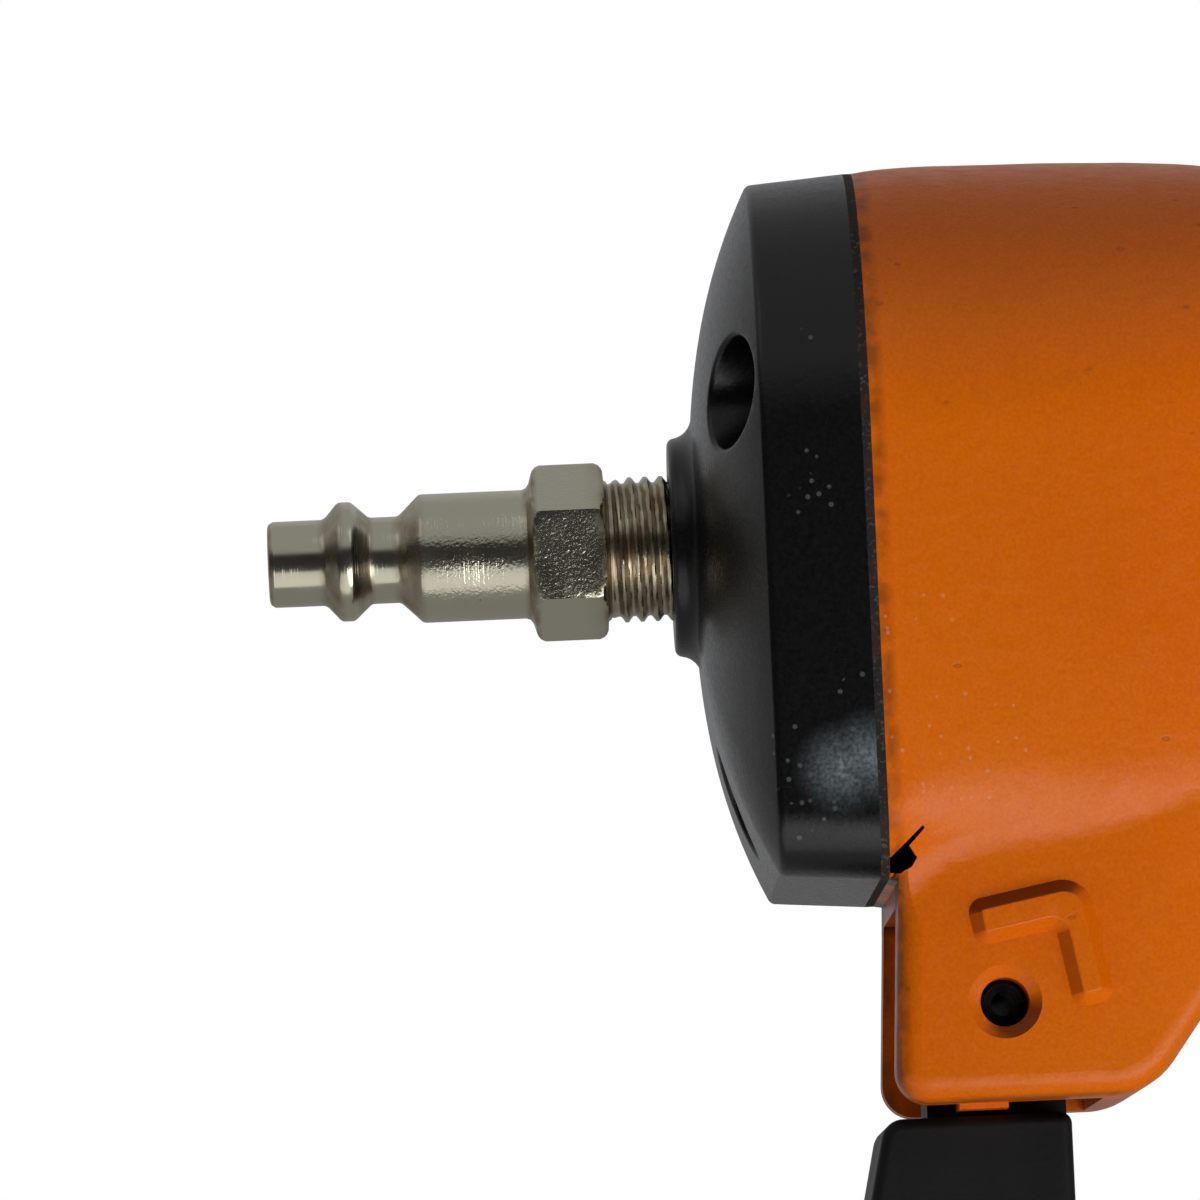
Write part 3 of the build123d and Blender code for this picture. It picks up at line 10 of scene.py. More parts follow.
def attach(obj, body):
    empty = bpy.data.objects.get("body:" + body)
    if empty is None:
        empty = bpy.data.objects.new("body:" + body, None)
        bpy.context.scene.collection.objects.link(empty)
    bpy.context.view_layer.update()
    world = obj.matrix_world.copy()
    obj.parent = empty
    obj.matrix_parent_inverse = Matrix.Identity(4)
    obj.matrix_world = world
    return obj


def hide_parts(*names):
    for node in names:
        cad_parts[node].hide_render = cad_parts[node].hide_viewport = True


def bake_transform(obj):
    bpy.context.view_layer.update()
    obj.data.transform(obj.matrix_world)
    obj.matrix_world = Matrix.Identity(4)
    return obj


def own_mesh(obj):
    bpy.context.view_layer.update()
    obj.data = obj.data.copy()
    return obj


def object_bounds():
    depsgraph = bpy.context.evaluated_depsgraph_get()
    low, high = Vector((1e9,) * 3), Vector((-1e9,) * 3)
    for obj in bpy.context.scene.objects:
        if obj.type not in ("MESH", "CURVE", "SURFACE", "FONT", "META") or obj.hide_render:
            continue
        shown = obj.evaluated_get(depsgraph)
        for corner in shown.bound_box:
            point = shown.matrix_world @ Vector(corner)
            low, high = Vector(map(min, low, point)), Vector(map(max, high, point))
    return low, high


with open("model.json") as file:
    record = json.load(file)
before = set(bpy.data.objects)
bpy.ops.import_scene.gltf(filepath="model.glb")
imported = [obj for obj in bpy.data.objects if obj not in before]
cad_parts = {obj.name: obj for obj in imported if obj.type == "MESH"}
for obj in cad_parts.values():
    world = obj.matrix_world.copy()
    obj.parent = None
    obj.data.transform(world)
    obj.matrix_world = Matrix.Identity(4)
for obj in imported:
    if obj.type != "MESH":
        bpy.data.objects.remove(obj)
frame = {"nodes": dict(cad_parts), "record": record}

cad_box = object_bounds()
nodes = frame["nodes"]
MM = 0.001

# Sizes shared with the solids, in millimetres
handle_height = 135.0
joint_x = -236.0
plug_tip_x = -290.7
lug_foot = 82.4
lug_rear_lean = 1.9 / 34.6   # how far the lug's rear face leans forward over its height
flange_underside = 101.5   # the lug hangs below it
cap_side = -28.0   # y of the tail cap's near side

# How the pieces' faces are joined and shaded
joined_within = 0.002 * MM
sharp_angle = math.radians(30)


def paint(hex_code):
    """Linear colour of an sRGB hex value."""
    parts = [int(hex_code[i:i + 2], 16) / 255 for i in (1, 3, 5)]
    linear = [c / 12.92 if c <= 0.04045 else ((c + 0.055) / 1.055) ** 2.4 for c in parts]
    return (*linear, 1.0)


def per_mm(size):
    """Texture scale whose pattern repeats about every size millimetres."""
    return 1.0 / (size * MM)


def add(tree, kind, inputs=None, **settings):
    """One shader node with its settings, and a value or a link for each input given."""
    made = tree.nodes.new("ShaderNode" + kind)
    for name, value in settings.items():
        setattr(made, name, value)
    for socket, value in (inputs or {}).items():
        if isinstance(value, bpy.types.NodeSocket):
            tree.links.new(value, made.inputs[socket])
        else:
            made.inputs[socket].default_value = value
    return made


def new_finish(name):
    """Empty material with its node tree and the piece's own coordinates."""
    material = bpy.data.materials.new(name)
    material.use_nodes = True
    tree = material.node_tree
    tree.nodes.clear()
    place = add(tree, "TexCoord").outputs["Object"]
    return material, tree, place


def close_finish(material, colour, rough, bump, constants):
    """Finish with the surface and the output that end it."""
    tree = material.node_tree
    surface = add(tree, "BsdfPrincipled", {
        "Base Color": colour.outputs[2],
        "Roughness": rough.outputs[0],
        "Normal": bump.outputs["Normal"],
        **constants,
    })
    add(tree, "OutputMaterial", {"Surface": surface.outputs["BSDF"]})
    return material


def ring_faces(rings, start=0, wrap=False, capped=False):
    """Faces over closed rings of equally many points, which are counted on from start."""
    count = len(rings[0])
    faces = []
    for row in range(len(rings) if wrap else len(rings) - 1):
        near = start + row * count
        far = start + (row + 1) % len(rings) * count
        for k in range(count):
            after = (k + 1) % count
            faces.append((near + k, near + after, far + after, far + k))
    if capped:
        end = start + len(rings) * count
        faces.append(tuple(reversed(range(start, start + count))))
        faces.append(tuple(range(end - count, end)))
    return faces


def skin(name, rings, wrap=False, capped=False, crease=35.0):
    """Mesh object through closed rings of equally many points, in millimetres."""
    points = [Vector(point) * MM for ring in rings for point in ring]
    return close_mesh(name, points, ring_faces(rings, wrap=wrap, capped=capped), crease)


def close_mesh(name, points, faces, crease):
    """Mesh object from points in metres, smooth but for edges sharper than the crease angle."""
    mesh = bpy.data.meshes.new(name)
    mesh.from_pydata(points, [], faces)
    work = bmesh.new()
    work.from_mesh(mesh)
    bmesh.ops.recalc_face_normals(work, faces=work.faces)
    work.to_mesh(mesh)
    work.free()
    mesh.shade_smooth()
    mesh.set_sharp_from_angle(angle=math.radians(crease))
    piece = bpy.data.objects.new(name, mesh)
    bpy.context.scene.collection.objects.link(piece)
    return piece


def turning_colour(tree, pattern, low, high, ground, tint, most=1.0):
    """Colour that turns from ground to tint, at most by a share, as a pattern rises from low to high."""
    share = add(tree, "MapRange", {0: pattern, 1: low, 2: high, 3: 0.0, 4: most})
    shades = {6: paint(ground), 7: paint(tint)}
    return add(tree, "Mix", {0: share.outputs[0], **shades}, data_type="RGBA")


def near_points(tree, place, points):
    """Mask of round patches: one at each (x, y, z, radius) in millimetres, fading outwards."""
    mask = None
    for x, y, z, radius in points:
        centre = (x * MM, y * MM, z * MM)
        away = add(tree, "VectorMath", {0: place, 1: centre}, operation="DISTANCE")
        patch = add(tree, "MapRange", {0: away.outputs["Value"], 1: 0.0, 2: radius * MM, 3: 1.0, 4: 0.0})
        if mask:
            patch = add(tree, "Math", {0: patch.outputs[0], 1: mask}, operation="MAXIMUM")
        mask = patch.outputs[0]
    return mask


def girdles(tree, along, bands):
    """Mask of bands square to an axis: one at each (place, half width) in millimetres."""
    full_share = 0.4   # part of the half width that a band covers fully
    mask = None
    for middle, half_width in bands:
        offset = add(tree, "Math", {0: along, 1: middle * MM}, operation="SUBTRACT")
        away = add(tree, "Math", {0: offset.outputs[0]}, operation="ABSOLUTE")
        ends = {1: full_share * half_width * MM, 2: half_width * MM, 3: 1.0, 4: 0.0}
        band = add(tree, "MapRange", {0: away.outputs[0], **ends})
        if mask:
            band = add(tree, "Math", {0: band.outputs[0], 1: mask}, operation="MAXIMUM")
        mask = band.outputs[0]
    return mask


def dust_specks(tree, place, cell, share, mask):
    """Mask of specks that are palest round their rims, in a share of cells where the mask allows."""
    cells = add(tree, "TexVoronoi", {"Vector": place, "Scale": per_mm(cell)})
    away = cells.outputs["Distance"]
    dot = add(tree, "MapRange", {0: away, 1: 0.14, 2: 0.27, 3: 1.0, 4: 0.0})
    rim = add(tree, "MapRange", {0: away, 1: 0.02, 2: 0.15, 3: 0.35, 4: 1.0})
    pick = add(tree, "SeparateColor", {0: cells.outputs["Color"]})
    odds = add(tree, "Math", {0: mask, 1: share}, operation="MULTIPLY")
    lands = add(tree, "Math", {0: pick.outputs[0], 1: odds.outputs[0]}, operation="LESS_THAN")
    ring = add(tree, "Math", {0: dot.outputs[0], 1: rim.outputs[0]}, operation="MULTIPLY")
    speck = add(tree, "Math", {0: ring.outputs[0], 1: lands.outputs[0]}, operation="MULTIPLY")
    return speck.outputs[0]


# Finishes

def lathe_marks(tree, place, spacing, wander, depth):
    """Bump of level rings with the given spacing and depth in millimetres."""
    # Bands of a wave texture of scale 1 lie pi / 10 apart
    wave_scale = math.pi / 10 / (spacing * MM)
    feed = {"Vector": place, "Scale": wave_scale, "Distortion": wander, "Detail": 1.0}
    rings = add(tree, "TexWave", feed, bands_direction="Z")
    return add(tree, "Bump", {"Height": rings.outputs["Fac"], "Strength": 0.5, "Distance": depth * MM})


def painted_ledge_shade(tree, place):
    """Mask of painted shade on what faces up and back of the lug's raised angle and the pin's countersink.
    """
    up_and_back = (-0.5, 0.0, 0.87)
    ear_middles = [(-222.4, side * 23.5, 96.1, 11.0) for side in (-1, 1)]
    outward = add(tree, "TexCoord").outputs["Normal"]
    facing = add(tree, "VectorMath", {0: outward, 1: up_and_back}, operation="DOT_PRODUCT")
    ledge = add(tree, "MapRange", {0: facing.outputs["Value"], 1: 0.12, 2: 0.45})
    on_ear = near_points(tree, place, ear_middles)
    on_ear = add(tree, "MapRange", {0: on_ear, 1: 0.05, 2: 0.22, 3: 0.0, 4: 0.8})
    return add(tree, "Math", {0: ledge.outputs[0], 1: on_ear.outputs[0]}, operation="MULTIPLY")


def worn_and_shaded_rims(tree, axes, blotch):
    """Patchy mask of the lug's outer rear and bottom rims, darkened partly by wear and partly as painted
    shade.
    """
    tail_front = -180.0   # ahead of it the casting is handle and head
    darkened_from = 19.0   # how far out from the middle plane an ear's rims are darkened
    rear_step = 0.3   # how far the lug's foot stands out behind the joint
    x, z = axes.outputs["X"], axes.outputs["Z"]
    # The lug's rear face leans, so the rear rim is measured from that plane
    lean = {0: z, 1: -lug_rear_lean, 2: x}
    from_plane = add(tree, "Math", lean, operation="MULTIPLY_ADD").outputs[0]
    rear = joint_x - rear_step - lug_rear_lean * lug_foot
    rear_ends = {1: (rear + 0.2) * MM, 2: (rear + 0.6) * MM, 3: 1.0, 4: 0.0}
    behind = add(tree, "MapRange", {0: from_plane, **rear_ends})
    foot_ends = {1: (lug_foot + 0.15) * MM, 2: (lug_foot + 0.45) * MM, 3: 1.0, 4: 0.0}
    below = add(tree, "MapRange", {0: z, **foot_ends})
    rims = add(tree, "Math", {0: behind.outputs[0], 1: below.outputs[0]}, operation="MAXIMUM")
    side = add(tree, "Math", {0: axes.outputs["Y"]}, operation="ABSOLUTE").outputs[0]
    for along, limit, test in (
        (z, flange_underside, "LESS_THAN"),
        (x, tail_front, "LESS_THAN"),
        (side, darkened_from, "GREATER_THAN"),
    ):
        within = add(tree, "Math", {0: along, 1: limit * MM}, operation=test)
        rims = add(tree, "Math", {0: rims.outputs[0], 1: within.outputs[0]}, operation="MULTIPLY")
    wear_and_shade_patches = add(tree, "MapRange", {0: blotch, 1: 0.3, 2: 0.5, 3: 0.05, 4: 0.45})
    return add(tree, "Math", {0: rims.outputs[0], 1: wear_and_shade_patches.outputs[0]}, operation="MULTIPLY")


def orange_stove_enamel():
    """Stove enamel sprayed on an aluminium casting.

    To the eye a deep satin orange with an orange peel about a millimetre across, drawn out along
    the handle, and small dark dents. Grime has crept in along the tail joint, and dust has stuck
    beside it. Painted shade darkens the nook under the joint and the lug's upward ledges, and the
    lug's rear and bottom rims are darkened, partly by rubbing and partly as painted shade.
    """
    material, tree, place = new_finish("orange_stove_enamel")
    drawn = add(tree, "Mapping", {"Vector": place, "Scale": (0.6, 1.0, 1.0)}).outputs[0]
    spray = {"Vector": drawn, "Scale": per_mm(1.1), "Detail": 2.0, "Roughness": 0.45}
    peel = add(tree, "TexNoise", spray).outputs["Fac"]
    grain = add(tree, "TexNoise", {"Vector": place, "Scale": per_mm(0.3), "Detail": 1.0}).outputs["Fac"]
    dents = dust_specks(tree, drawn, 1.1, 0.02, 1.0)
    peel_and_grain = {0: grain, 1: 0.35, 2: peel}
    film = add(tree, "Math", peel_and_grain, operation="MULTIPLY_ADD")
    height = add(tree, "Math", {0: dents, 1: -0.6, 2: film.outputs[0]}, operation="MULTIPLY_ADD")
    bump = add(tree, "Bump", {"Height": height.outputs[0], "Strength": 0.8, "Distance": 0.07 * MM})

    cloud = add(tree, "TexNoise", {"Vector": place, "Scale": per_mm(24), "Detail": 3.0}).outputs["Fac"]
    cloud_and_grain = {0: grain, 1: 1.2, 2: cloud}
    streak = add(tree, "Math", cloud_and_grain, operation="MULTIPLY_ADD")
    colour = turning_colour(tree, streak.outputs[0], 0.75, 1.45, "#D76000", "#E46F02")

    pits = add(tree, "Math", {0: dents, 1: 0.4}, operation="MULTIPLY")
    axes = add(tree, "SeparateXYZ", {0: place})
    creep = girdles(tree, axes.outputs["X"], [(joint_x, 1.5)])
    blotch = add(tree, "TexNoise", {"Vector": place, "Scale": per_mm(2.2), "Detail": 4.0}).outputs["Fac"]
    patchy = add(tree, "MapRange", {0: blotch, 1: 0.4, 2: 0.62, 3: 0.1, 4: 0.55})
    grime = add(tree, "Math", {0: creep, 1: patchy.outputs[0]}, operation="MULTIPLY")
    dusty = near_points(tree, place, [(-232.0, cap_side, 124.5, 6.0), (-229.0, cap_side + 1, 114.0, 9.0)])
    dust = dust_specks(tree, place, 0.85, 0.5, dusty)
    dusting = add(tree, "Math", {0: dust, 1: 0.28}, operation="MULTIPLY")
    # Painted shade, near black, in the nook where the lug runs in under the flange
    in_nook = near_points(tree, place, [(-235.0, side * 18.0, 104.0, 5.6) for side in (-1, 1)])
    painted_nook_shade = add(tree, "MapRange", {0: in_nook, 1: 0.05, 2: 0.25, 3: 0.0, 4: 0.85})
    # Painted shade on the lug's upward-facing ledges
    ledge_shade = painted_ledge_shade(tree, place)
    worn_and_shaded = worn_and_shaded_rims(tree, axes, blotch)
    # Dents, grime and dust are the paint's own. The nook and ledge layers are painted shade, and the rim
    # layer is partly wear and partly painted shade.
    for mask, tint in (
        (pits, "#7A3A08"), (grime, "#5C2B0A"), (dusting, "#E3BE98"),
        (painted_nook_shade, "#241006"), (ledge_shade, "#551E04"), (worn_and_shaded, "#453022"),
    ):
        layer = {0: mask.outputs[0], 6: colour.outputs[2], 7: paint(tint)}
        colour = add(tree, "Mix", layer, data_type="RGBA")
    sheen = add(tree, "MapRange", {0: peel, 1: 0.3, 2: 0.7, 3: 0.28, 4: 0.4})
    rough = add(tree, "Math", {0: dust, 1: 0.3, 2: sheen.outputs[0]}, operation="MULTIPLY_ADD")
    return close_finish(material, colour, rough, bump, {"IOR": 1.5, "Specular IOR Level": 0.22})


def black_satin_paint():
    """Black enamel sprayed on a die casting.

    To the eye almost black, with a grey sheen where it turns away and a fine dry grain. A painted
    bluish highlight and pale dust specks sit on the near side of the tail cap.
    """
    material, tree, place = new_finish("black_satin_paint")
    grain = add(tree, "TexNoise", {"Vector": place, "Scale": per_mm(0.45), "Detail": 3.0}).outputs["Fac"]
    swell = add(tree, "TexNoise", {"Vector": place, "Scale": per_mm(3.5), "Detail": 1.0}).outputs["Fac"]
    grain_and_swell = {0: swell, 1: 1.6, 2: grain}
    film = add(tree, "Math", grain_and_swell, operation="MULTIPLY_ADD")
    bump = add(tree, "Bump", {"Height": film.outputs[0], "Strength": 0.5, "Distance": 0.025 * MM})
    # Painted bluish highlight on the near side of the tail cap, brightest towards the joint; it also
    # roughens the paint there
    highlight_spots = near_points(tree, place, [(-237.4, cap_side, 113.0, 4.8), (-240.0, cap_side, 112.2, 4.6)])
    highlight_spots = add(tree, "Math", {0: highlight_spots, 1: 1.5}, operation="POWER").outputs[0]
    highlight_grain = add(tree, "TexNoise", {"Vector": place, "Scale": per_mm(0.35), "Detail": 3.0}).outputs["Fac"]
    patchy = add(tree, "MapRange", {0: highlight_grain, 1: 0.38, 2: 0.68, 3: 0.35, 4: 0.9})
    painted_highlight = add(tree, "Math", {0: highlight_spots, 1: patchy.outputs[0]}, operation="MULTIPLY")
    shades = {6: paint("#0B0A0A"), 7: paint("#8A969A")}
    colour = add(tree, "Mix", {0: painted_highlight.outputs[0], **shades}, data_type="RGBA")
    dusty = near_points(tree, place, [
        (-242.4, cap_side, 152.3, 3.5), (-242.1, cap_side, 138.0, 4.5), (-246.8, cap_side, 128.8, 3.0),
        (-238.4, cap_side, 119.0, 4.0), (-244.8, cap_side, 110.6, 4.0), (-241.4, cap_side, 112.0, 7.0),
    ])
    dust = dust_specks(tree, place, 1.0, 0.75, dusty)
    colour = add(tree, "Mix", {0: dust, 6: colour.outputs[2], 7: paint("#55585A")}, data_type="RGBA")
    sheen = add(tree, "MapRange", {0: grain, 1: 0.3, 2: 0.7, 3: 0.24, 4: 0.34})
    rough = add(tree, "Math", {0: painted_highlight.outputs[0], 1: 0.2, 2: sheen.outputs[0]}, operation="MULTIPLY_ADD")
    return close_finish(material, colour, rough, bump, {"IOR": 1.5})


def nickel_plated_steel():
    """Nickel plate on a turned steel plug with a milled hexagon.

    To the eye a warm grey mirror broken by turned rings, brown where it has tarnished in the
    grooves and the thread. The hexagon's flats keep the mottled skin of the drawn bar.
    """
    material, tree, place = new_finish("nickel_plated_steel")
    along = add(tree, "SeparateXYZ", {0: place}).outputs["X"]
    # A finishing cut leaves uneven rings about 0.1 mm apart; they are drawn 0.22 mm apart to show
    cuts = {"W": along, "Scale": per_mm(0.22), "Detail": 1.0}
    rings = add(tree, "TexNoise", cuts, noise_dimensions="1D").outputs["Fac"]
    grain = add(tree, "TexNoise", {"Vector": place, "Scale": per_mm(0.32), "Detail": 2.0}).outputs["Fac"]
    hexagon = girdles(tree, along, [(plug_tip_x + 27.6, 4.2)])
    barrel = girdles(tree, along, [(plug_tip_x + 18.8, 7.0)])
    bar_skin = add(tree, "Math", {0: hexagon, 1: 1.0, 2: barrel}, operation="MULTIPLY_ADD")
    grain_on_skin = {0: grain, 1: bar_skin.outputs[0]}
    mottle = add(tree, "Math", grain_on_skin, operation="MULTIPLY")
    turned = add(tree, "Math", {0: 1.0, 1: hexagon}, operation="SUBTRACT")
    feed = add(tree, "Math", {0: rings, 1: turned.outputs[0]}, operation="MULTIPLY")
    feed_and_mottle = {0: mottle.outputs[0], 1: 2.4, 2: feed.outputs[0]}
    height = add(tree, "Math", feed_and_mottle, operation="MULTIPLY_ADD")
    bump = add(tree, "Bump", {"Height": height.outputs[0], "Strength": 1.0, "Distance": 0.02 * MM})
    grooves = [(0.0, 0.5), (5.8, 1.3), (8.9, 0.9), (12.9, 1.6), (24.1, 0.8), (31.1, 0.9)]
    shoulders = girdles(tree, along, [(plug_tip_x + x, half_width) for x, half_width in grooves])
    thread = girdles(tree, along, [(plug_tip_x + 35.5, 6.5)])
    cloud = add(tree, "TexNoise", {"Vector": place, "Scale": per_mm(2.2), "Detail": 2.0}).outputs["Fac"]
    spots = add(tree, "MapRange", {0: cloud, 1: 0.3, 2: 0.7, 3: 0.2, 4: 0.7})
    stained = add(tree, "Math", {0: thread, 1: shoulders}, operation="MAXIMUM")
    tarnish = add(tree, "Math", {0: stained.outputs[0], 1: spots.outputs[0]}, operation="MULTIPLY")
    shades = {6: paint("#D0CBB6"), 7: paint("#7C5C36")}
    colour = add(tree, "Mix", {0: tarnish.outputs[0], **shades}, data_type="RGBA")
    gloss = add(tree, "MapRange", {0: cloud, 1: 0.3, 2: 0.7, 3: 0.15, 4: 0.22})
    matt = add(tree, "Math", {0: hexagon, 1: barrel}, operation="MAXIMUM")
    gloss_and_matt = {0: matt.outputs[0], 1: 0.03, 2: gloss.outputs[0]}
    dulled = add(tree, "Math", gloss_and_matt, operation="MULTIPLY_ADD")
    dull_and_tarnish = {0: tarnish.outputs[0], 1: 0.2, 2: dulled.outputs[0]}
    rough = add(tree, "Math", dull_and_tarnish, operation="MULTIPLY_ADD")
    return close_finish(material, colour, rough, bump, {"Metallic": 1.0})


def black_oxide_steel():
    """Steel screws and pins blackened in a hot salt bath.

    To the eye a dull, slightly oily near black that only glints on edges.
    """
    material, tree, place = new_finish("black_oxide_steel")
    oil = add(tree, "TexNoise", {"Vector": place, "Scale": per_mm(1.8), "Detail": 3.0}).outputs["Fac"]
    rough = add(tree, "MapRange", {0: oil, 1: 0.3, 2: 0.7, 3: 0.4, 4: 0.58})
    colour = turning_colour(tree, oil, 0.3, 0.7, "#17171A", "#2B2A2B")
    # The bath's etch is far finer; it is drawn 0.25 mm wide to show
    etch = add(tree, "TexNoise", {"Vector": place, "Scale": per_mm(0.25), "Detail": 2.0}).outputs["Fac"]
    bump = add(tree, "Bump", {"Height": etch, "Strength": 0.4, "Distance": 0.01 * MM})
    return close_finish(material, colour, rough, bump, {"Metallic": 1.0})


def zinc_plated_steel():
    """Zinc plate with a blue passivation, dulled by use.

    To the eye a cool mid grey with a broad soft sheen, clouded where it has been handled.
    """
    material, tree, place = new_finish("zinc_plated_steel")
    cloud = add(tree, "TexNoise", {"Vector": place, "Scale": per_mm(5), "Detail": 4.0}).outputs["Fac"]
    colour = turning_colour(tree, cloud, 0.35, 0.65, "#8B9199", "#A3A6AA")
    # The plate follows the rolled sheet's grain, drawn 0.4 mm wide to show
    rolled = add(tree, "Mapping", {"Vector": place, "Scale": (1.0, 1.0, 0.08)}).outputs[0]
    lines = add(tree, "TexNoise", {"Vector": rolled, "Scale": per_mm(0.4), "Detail": 2.0}).outputs["Fac"]
    bump = add(tree, "Bump", {"Height": lines, "Strength": 0.3, "Distance": 0.008 * MM})
    rough = add(tree, "MapRange", {0: cloud, 1: 0.3, 2: 0.7, 3: 0.42, 4: 0.56})
    return close_finish(material, colour, rough, bump, {"Metallic": 1.0})


def ground_tool_steel():
    """Hardened tool steel, surface ground and oiled.

    To the eye a mid grey with fine upright grinding lines and brownish oil stains.
    """
    material, tree, place = new_finish("ground_tool_steel")
    # Grinding lines of some 0.05 mm, drawn 0.3 mm wide to show
    upright = add(tree, "Mapping", {"Vector": place, "Scale": (1.0, 1.0, 0.03)}).outputs[0]
    lines = add(tree, "TexNoise", {"Vector": upright, "Scale": per_mm(0.3), "Detail": 3.0}).outputs["Fac"]
    bump = add(tree, "Bump", {"Height": lines, "Strength": 0.5, "Distance": 0.008 * MM})
    oil = add(tree, "TexNoise", {"Vector": place, "Scale": per_mm(9), "Detail": 5.0}).outputs["Fac"]
    colour = turning_colour(tree, oil, 0.48, 0.75, "#8E8D8B", "#625546", most=0.7)
    rough = add(tree, "MapRange", {0: lines, 1: 0.3, 2: 0.7, 3: 0.32, 4: 0.46})
    return close_finish(material, colour, rough, bump, {"Metallic": 1.0})


def black_baked_paint():
    """Black baked paint on pressed steel.

    To the eye a smooth deep black with a low gloss, fine grain and grey rub marks along its run.
    """
    material, tree, place = new_finish("black_baked_paint")
    grain = add(tree, "TexNoise", {"Vector": place, "Scale": per_mm(0.6), "Detail": 2.0}).outputs["Fac"]
    bump = add(tree, "Bump", {"Height": grain, "Strength": 0.4, "Distance": 0.02 * MM})
    swept = add(tree, "Mapping", {"Vector": place, "Scale": (0.05, 1.0, 1.0)}).outputs[0]
    marks = add(tree, "TexNoise", {"Vector": swept, "Scale": per_mm(0.7), "Detail": 3.0}).outputs["Fac"]
    where = add(tree, "TexNoise", {"Vector": place, "Scale": per_mm(28), "Detail": 2.0}).outputs["Fac"]
    mark = add(tree, "MapRange", {0: marks, 1: 0.62, 2: 0.72})
    handled = add(tree, "MapRange", {0: where, 1: 0.5, 2: 0.65, 3: 0.0, 4: 0.6})
    rub = add(tree, "Math", {0: mark.outputs[0], 1: handled.outputs[0]}, operation="MULTIPLY")
    shades = {6: paint("#101012"), 7: paint("#55565A")}
    colour = add(tree, "Mix", {0: rub.outputs[0], **shades}, data_type="RGBA")
    gloss = add(tree, "MapRange", {0: where, 1: 0.3, 2: 0.7, 3: 0.34, 4: 0.46})
    rough = add(tree, "Math", {0: rub.outputs[0], 1: 0.2, 2: gloss.outputs[0]}, operation="MULTIPLY_ADD")
    return close_finish(material, colour, rough, bump, {"IOR": 1.5})


def machined_aluminium():
    """Aluminium turned on a lathe about the cylinder's axis.

    To the eye a pale silver with fine level rings.
    """
    material, tree, place = new_finish("machined_aluminium")
    # Feed marks of about 0.15 mm, drawn 0.4 mm apart to show
    bump = lathe_marks(tree, place, spacing=0.4, wander=0.5, depth=0.006)
    cloud = add(tree, "TexNoise", {"Vector": place, "Scale": per_mm(6), "Detail": 3.0}).outputs["Fac"]
    colour = turning_colour(tree, cloud, 0.3, 0.7, "#BFC1C4", "#D2D3D5")
    rough = add(tree, "MapRange", {0: cloud, 1: 0.3, 2: 0.7, 3: 0.28, 4: 0.42})
    return close_finish(material, colour, rough, bump, {"Metallic": 1.0})


def turned_brass():
    """Brass valve parts turned from bar.

    To the eye a warm yellow metal with fine rings, browned here and there.
    """
    material, tree, place = new_finish("turned_brass")
    # Feed marks of about 0.1 mm, drawn 0.3 mm apart to show
    bump = lathe_marks(tree, place, spacing=0.3, wander=0.4, depth=0.005)
    cloud = add(tree, "TexNoise", {"Vector": place, "Scale": per_mm(2.5), "Detail": 4.0}).outputs["Fac"]
    colour = turning_colour(tree, cloud, 0.4, 0.7, "#CFA552", "#A07A38")
    rough = add(tree, "MapRange", {0: cloud, 1: 0.3, 2: 0.7, 3: 0.2, 4: 0.36})
    return close_finish(material, colour, rough, bump, {"Metallic": 1.0})


def tempered_spring_steel():
    """Oil-tempered spring wire and strip, drawn and rolled.

    To the eye a dark blue grey metal with a thin oily bloom.
    """
    material, tree, place = new_finish("tempered_spring_steel")
    bloom = add(tree, "TexNoise", {"Vector": place, "Scale": per_mm(1.5), "Detail": 4.0}).outputs["Fac"]
    colour = turning_colour(tree, bloom, 0.35, 0.65, "#5A5A5F", "#77736E")
    # The wire's skin has a finer grain; it is drawn 0.3 mm wide to show
    scale = add(tree, "TexNoise", {"Vector": place, "Scale": per_mm(0.3), "Detail": 2.0}).outputs["Fac"]
    bump = add(tree, "Bump", {"Height": scale, "Strength": 0.3, "Distance": 0.006 * MM})
    rough = add(tree, "MapRange", {0: bloom, 1: 0.3, 2: 0.7, 3: 0.26, 4: 0.42})
    return close_finish(material, colour, rough, bump, {"Metallic": 1.0})


def galvanised_staple_wire():
    """Flattened galvanised wire, bonded into a strip with lacquer.

    To the eye a dull silver, with the yellowed lacquer patchy over the crowns.
    """
    material, tree, place = new_finish("galvanised_staple_wire")
    patch = add(tree, "TexNoise", {"Vector": place, "Scale": per_mm(3), "Detail": 3.0}).outputs["Fac"]
    colour = turning_colour(tree, patch, 0.45, 0.7, "#BCC0C4", "#A89468", most=0.6)
    zinc = add(tree, "TexNoise", {"Vector": place, "Scale": per_mm(0.5), "Detail": 2.0}).outputs["Fac"]
    bump = add(tree, "Bump", {"Height": zinc, "Strength": 0.3, "Distance": 0.008 * MM})
    rough = add(tree, "MapRange", {0: zinc, 1: 0.3, 2: 0.7, 3: 0.3, 4: 0.46})
    return close_finish(material, colour, rough, bump, {"Metallic": 1.0})


def moulded_rubber():
    """Nitrile rubber from a blasted mould.

    To the eye a flat charcoal black with a fine grain and a greyish bloom on what is handled.
    """
    material, tree, place = new_finish("moulded_rubber")
    # A blasted mould leaves grain of some 0.1 mm, drawn 0.5 mm wide to show
    grain = add(tree, "TexNoise", {"Vector": place, "Scale": per_mm(0.5), "Detail": 2.0}).outputs["Fac"]
    bump = add(tree, "Bump", {"Height": grain, "Strength": 0.5, "Distance": 0.03 * MM})
    bloom = add(tree, "TexNoise", {"Vector": place, "Scale": per_mm(9), "Detail": 4.0}).outputs["Fac"]
    colour = turning_colour(tree, bloom, 0.42, 0.7, "#131313", "#232221", most=0.8)
    rough = add(tree, "MapRange", {0: bloom, 1: 0.3, 2: 0.7, 3: 0.6, 4: 0.78})
    return close_finish(material, colour, rough, bump, {"IOR": 1.52})


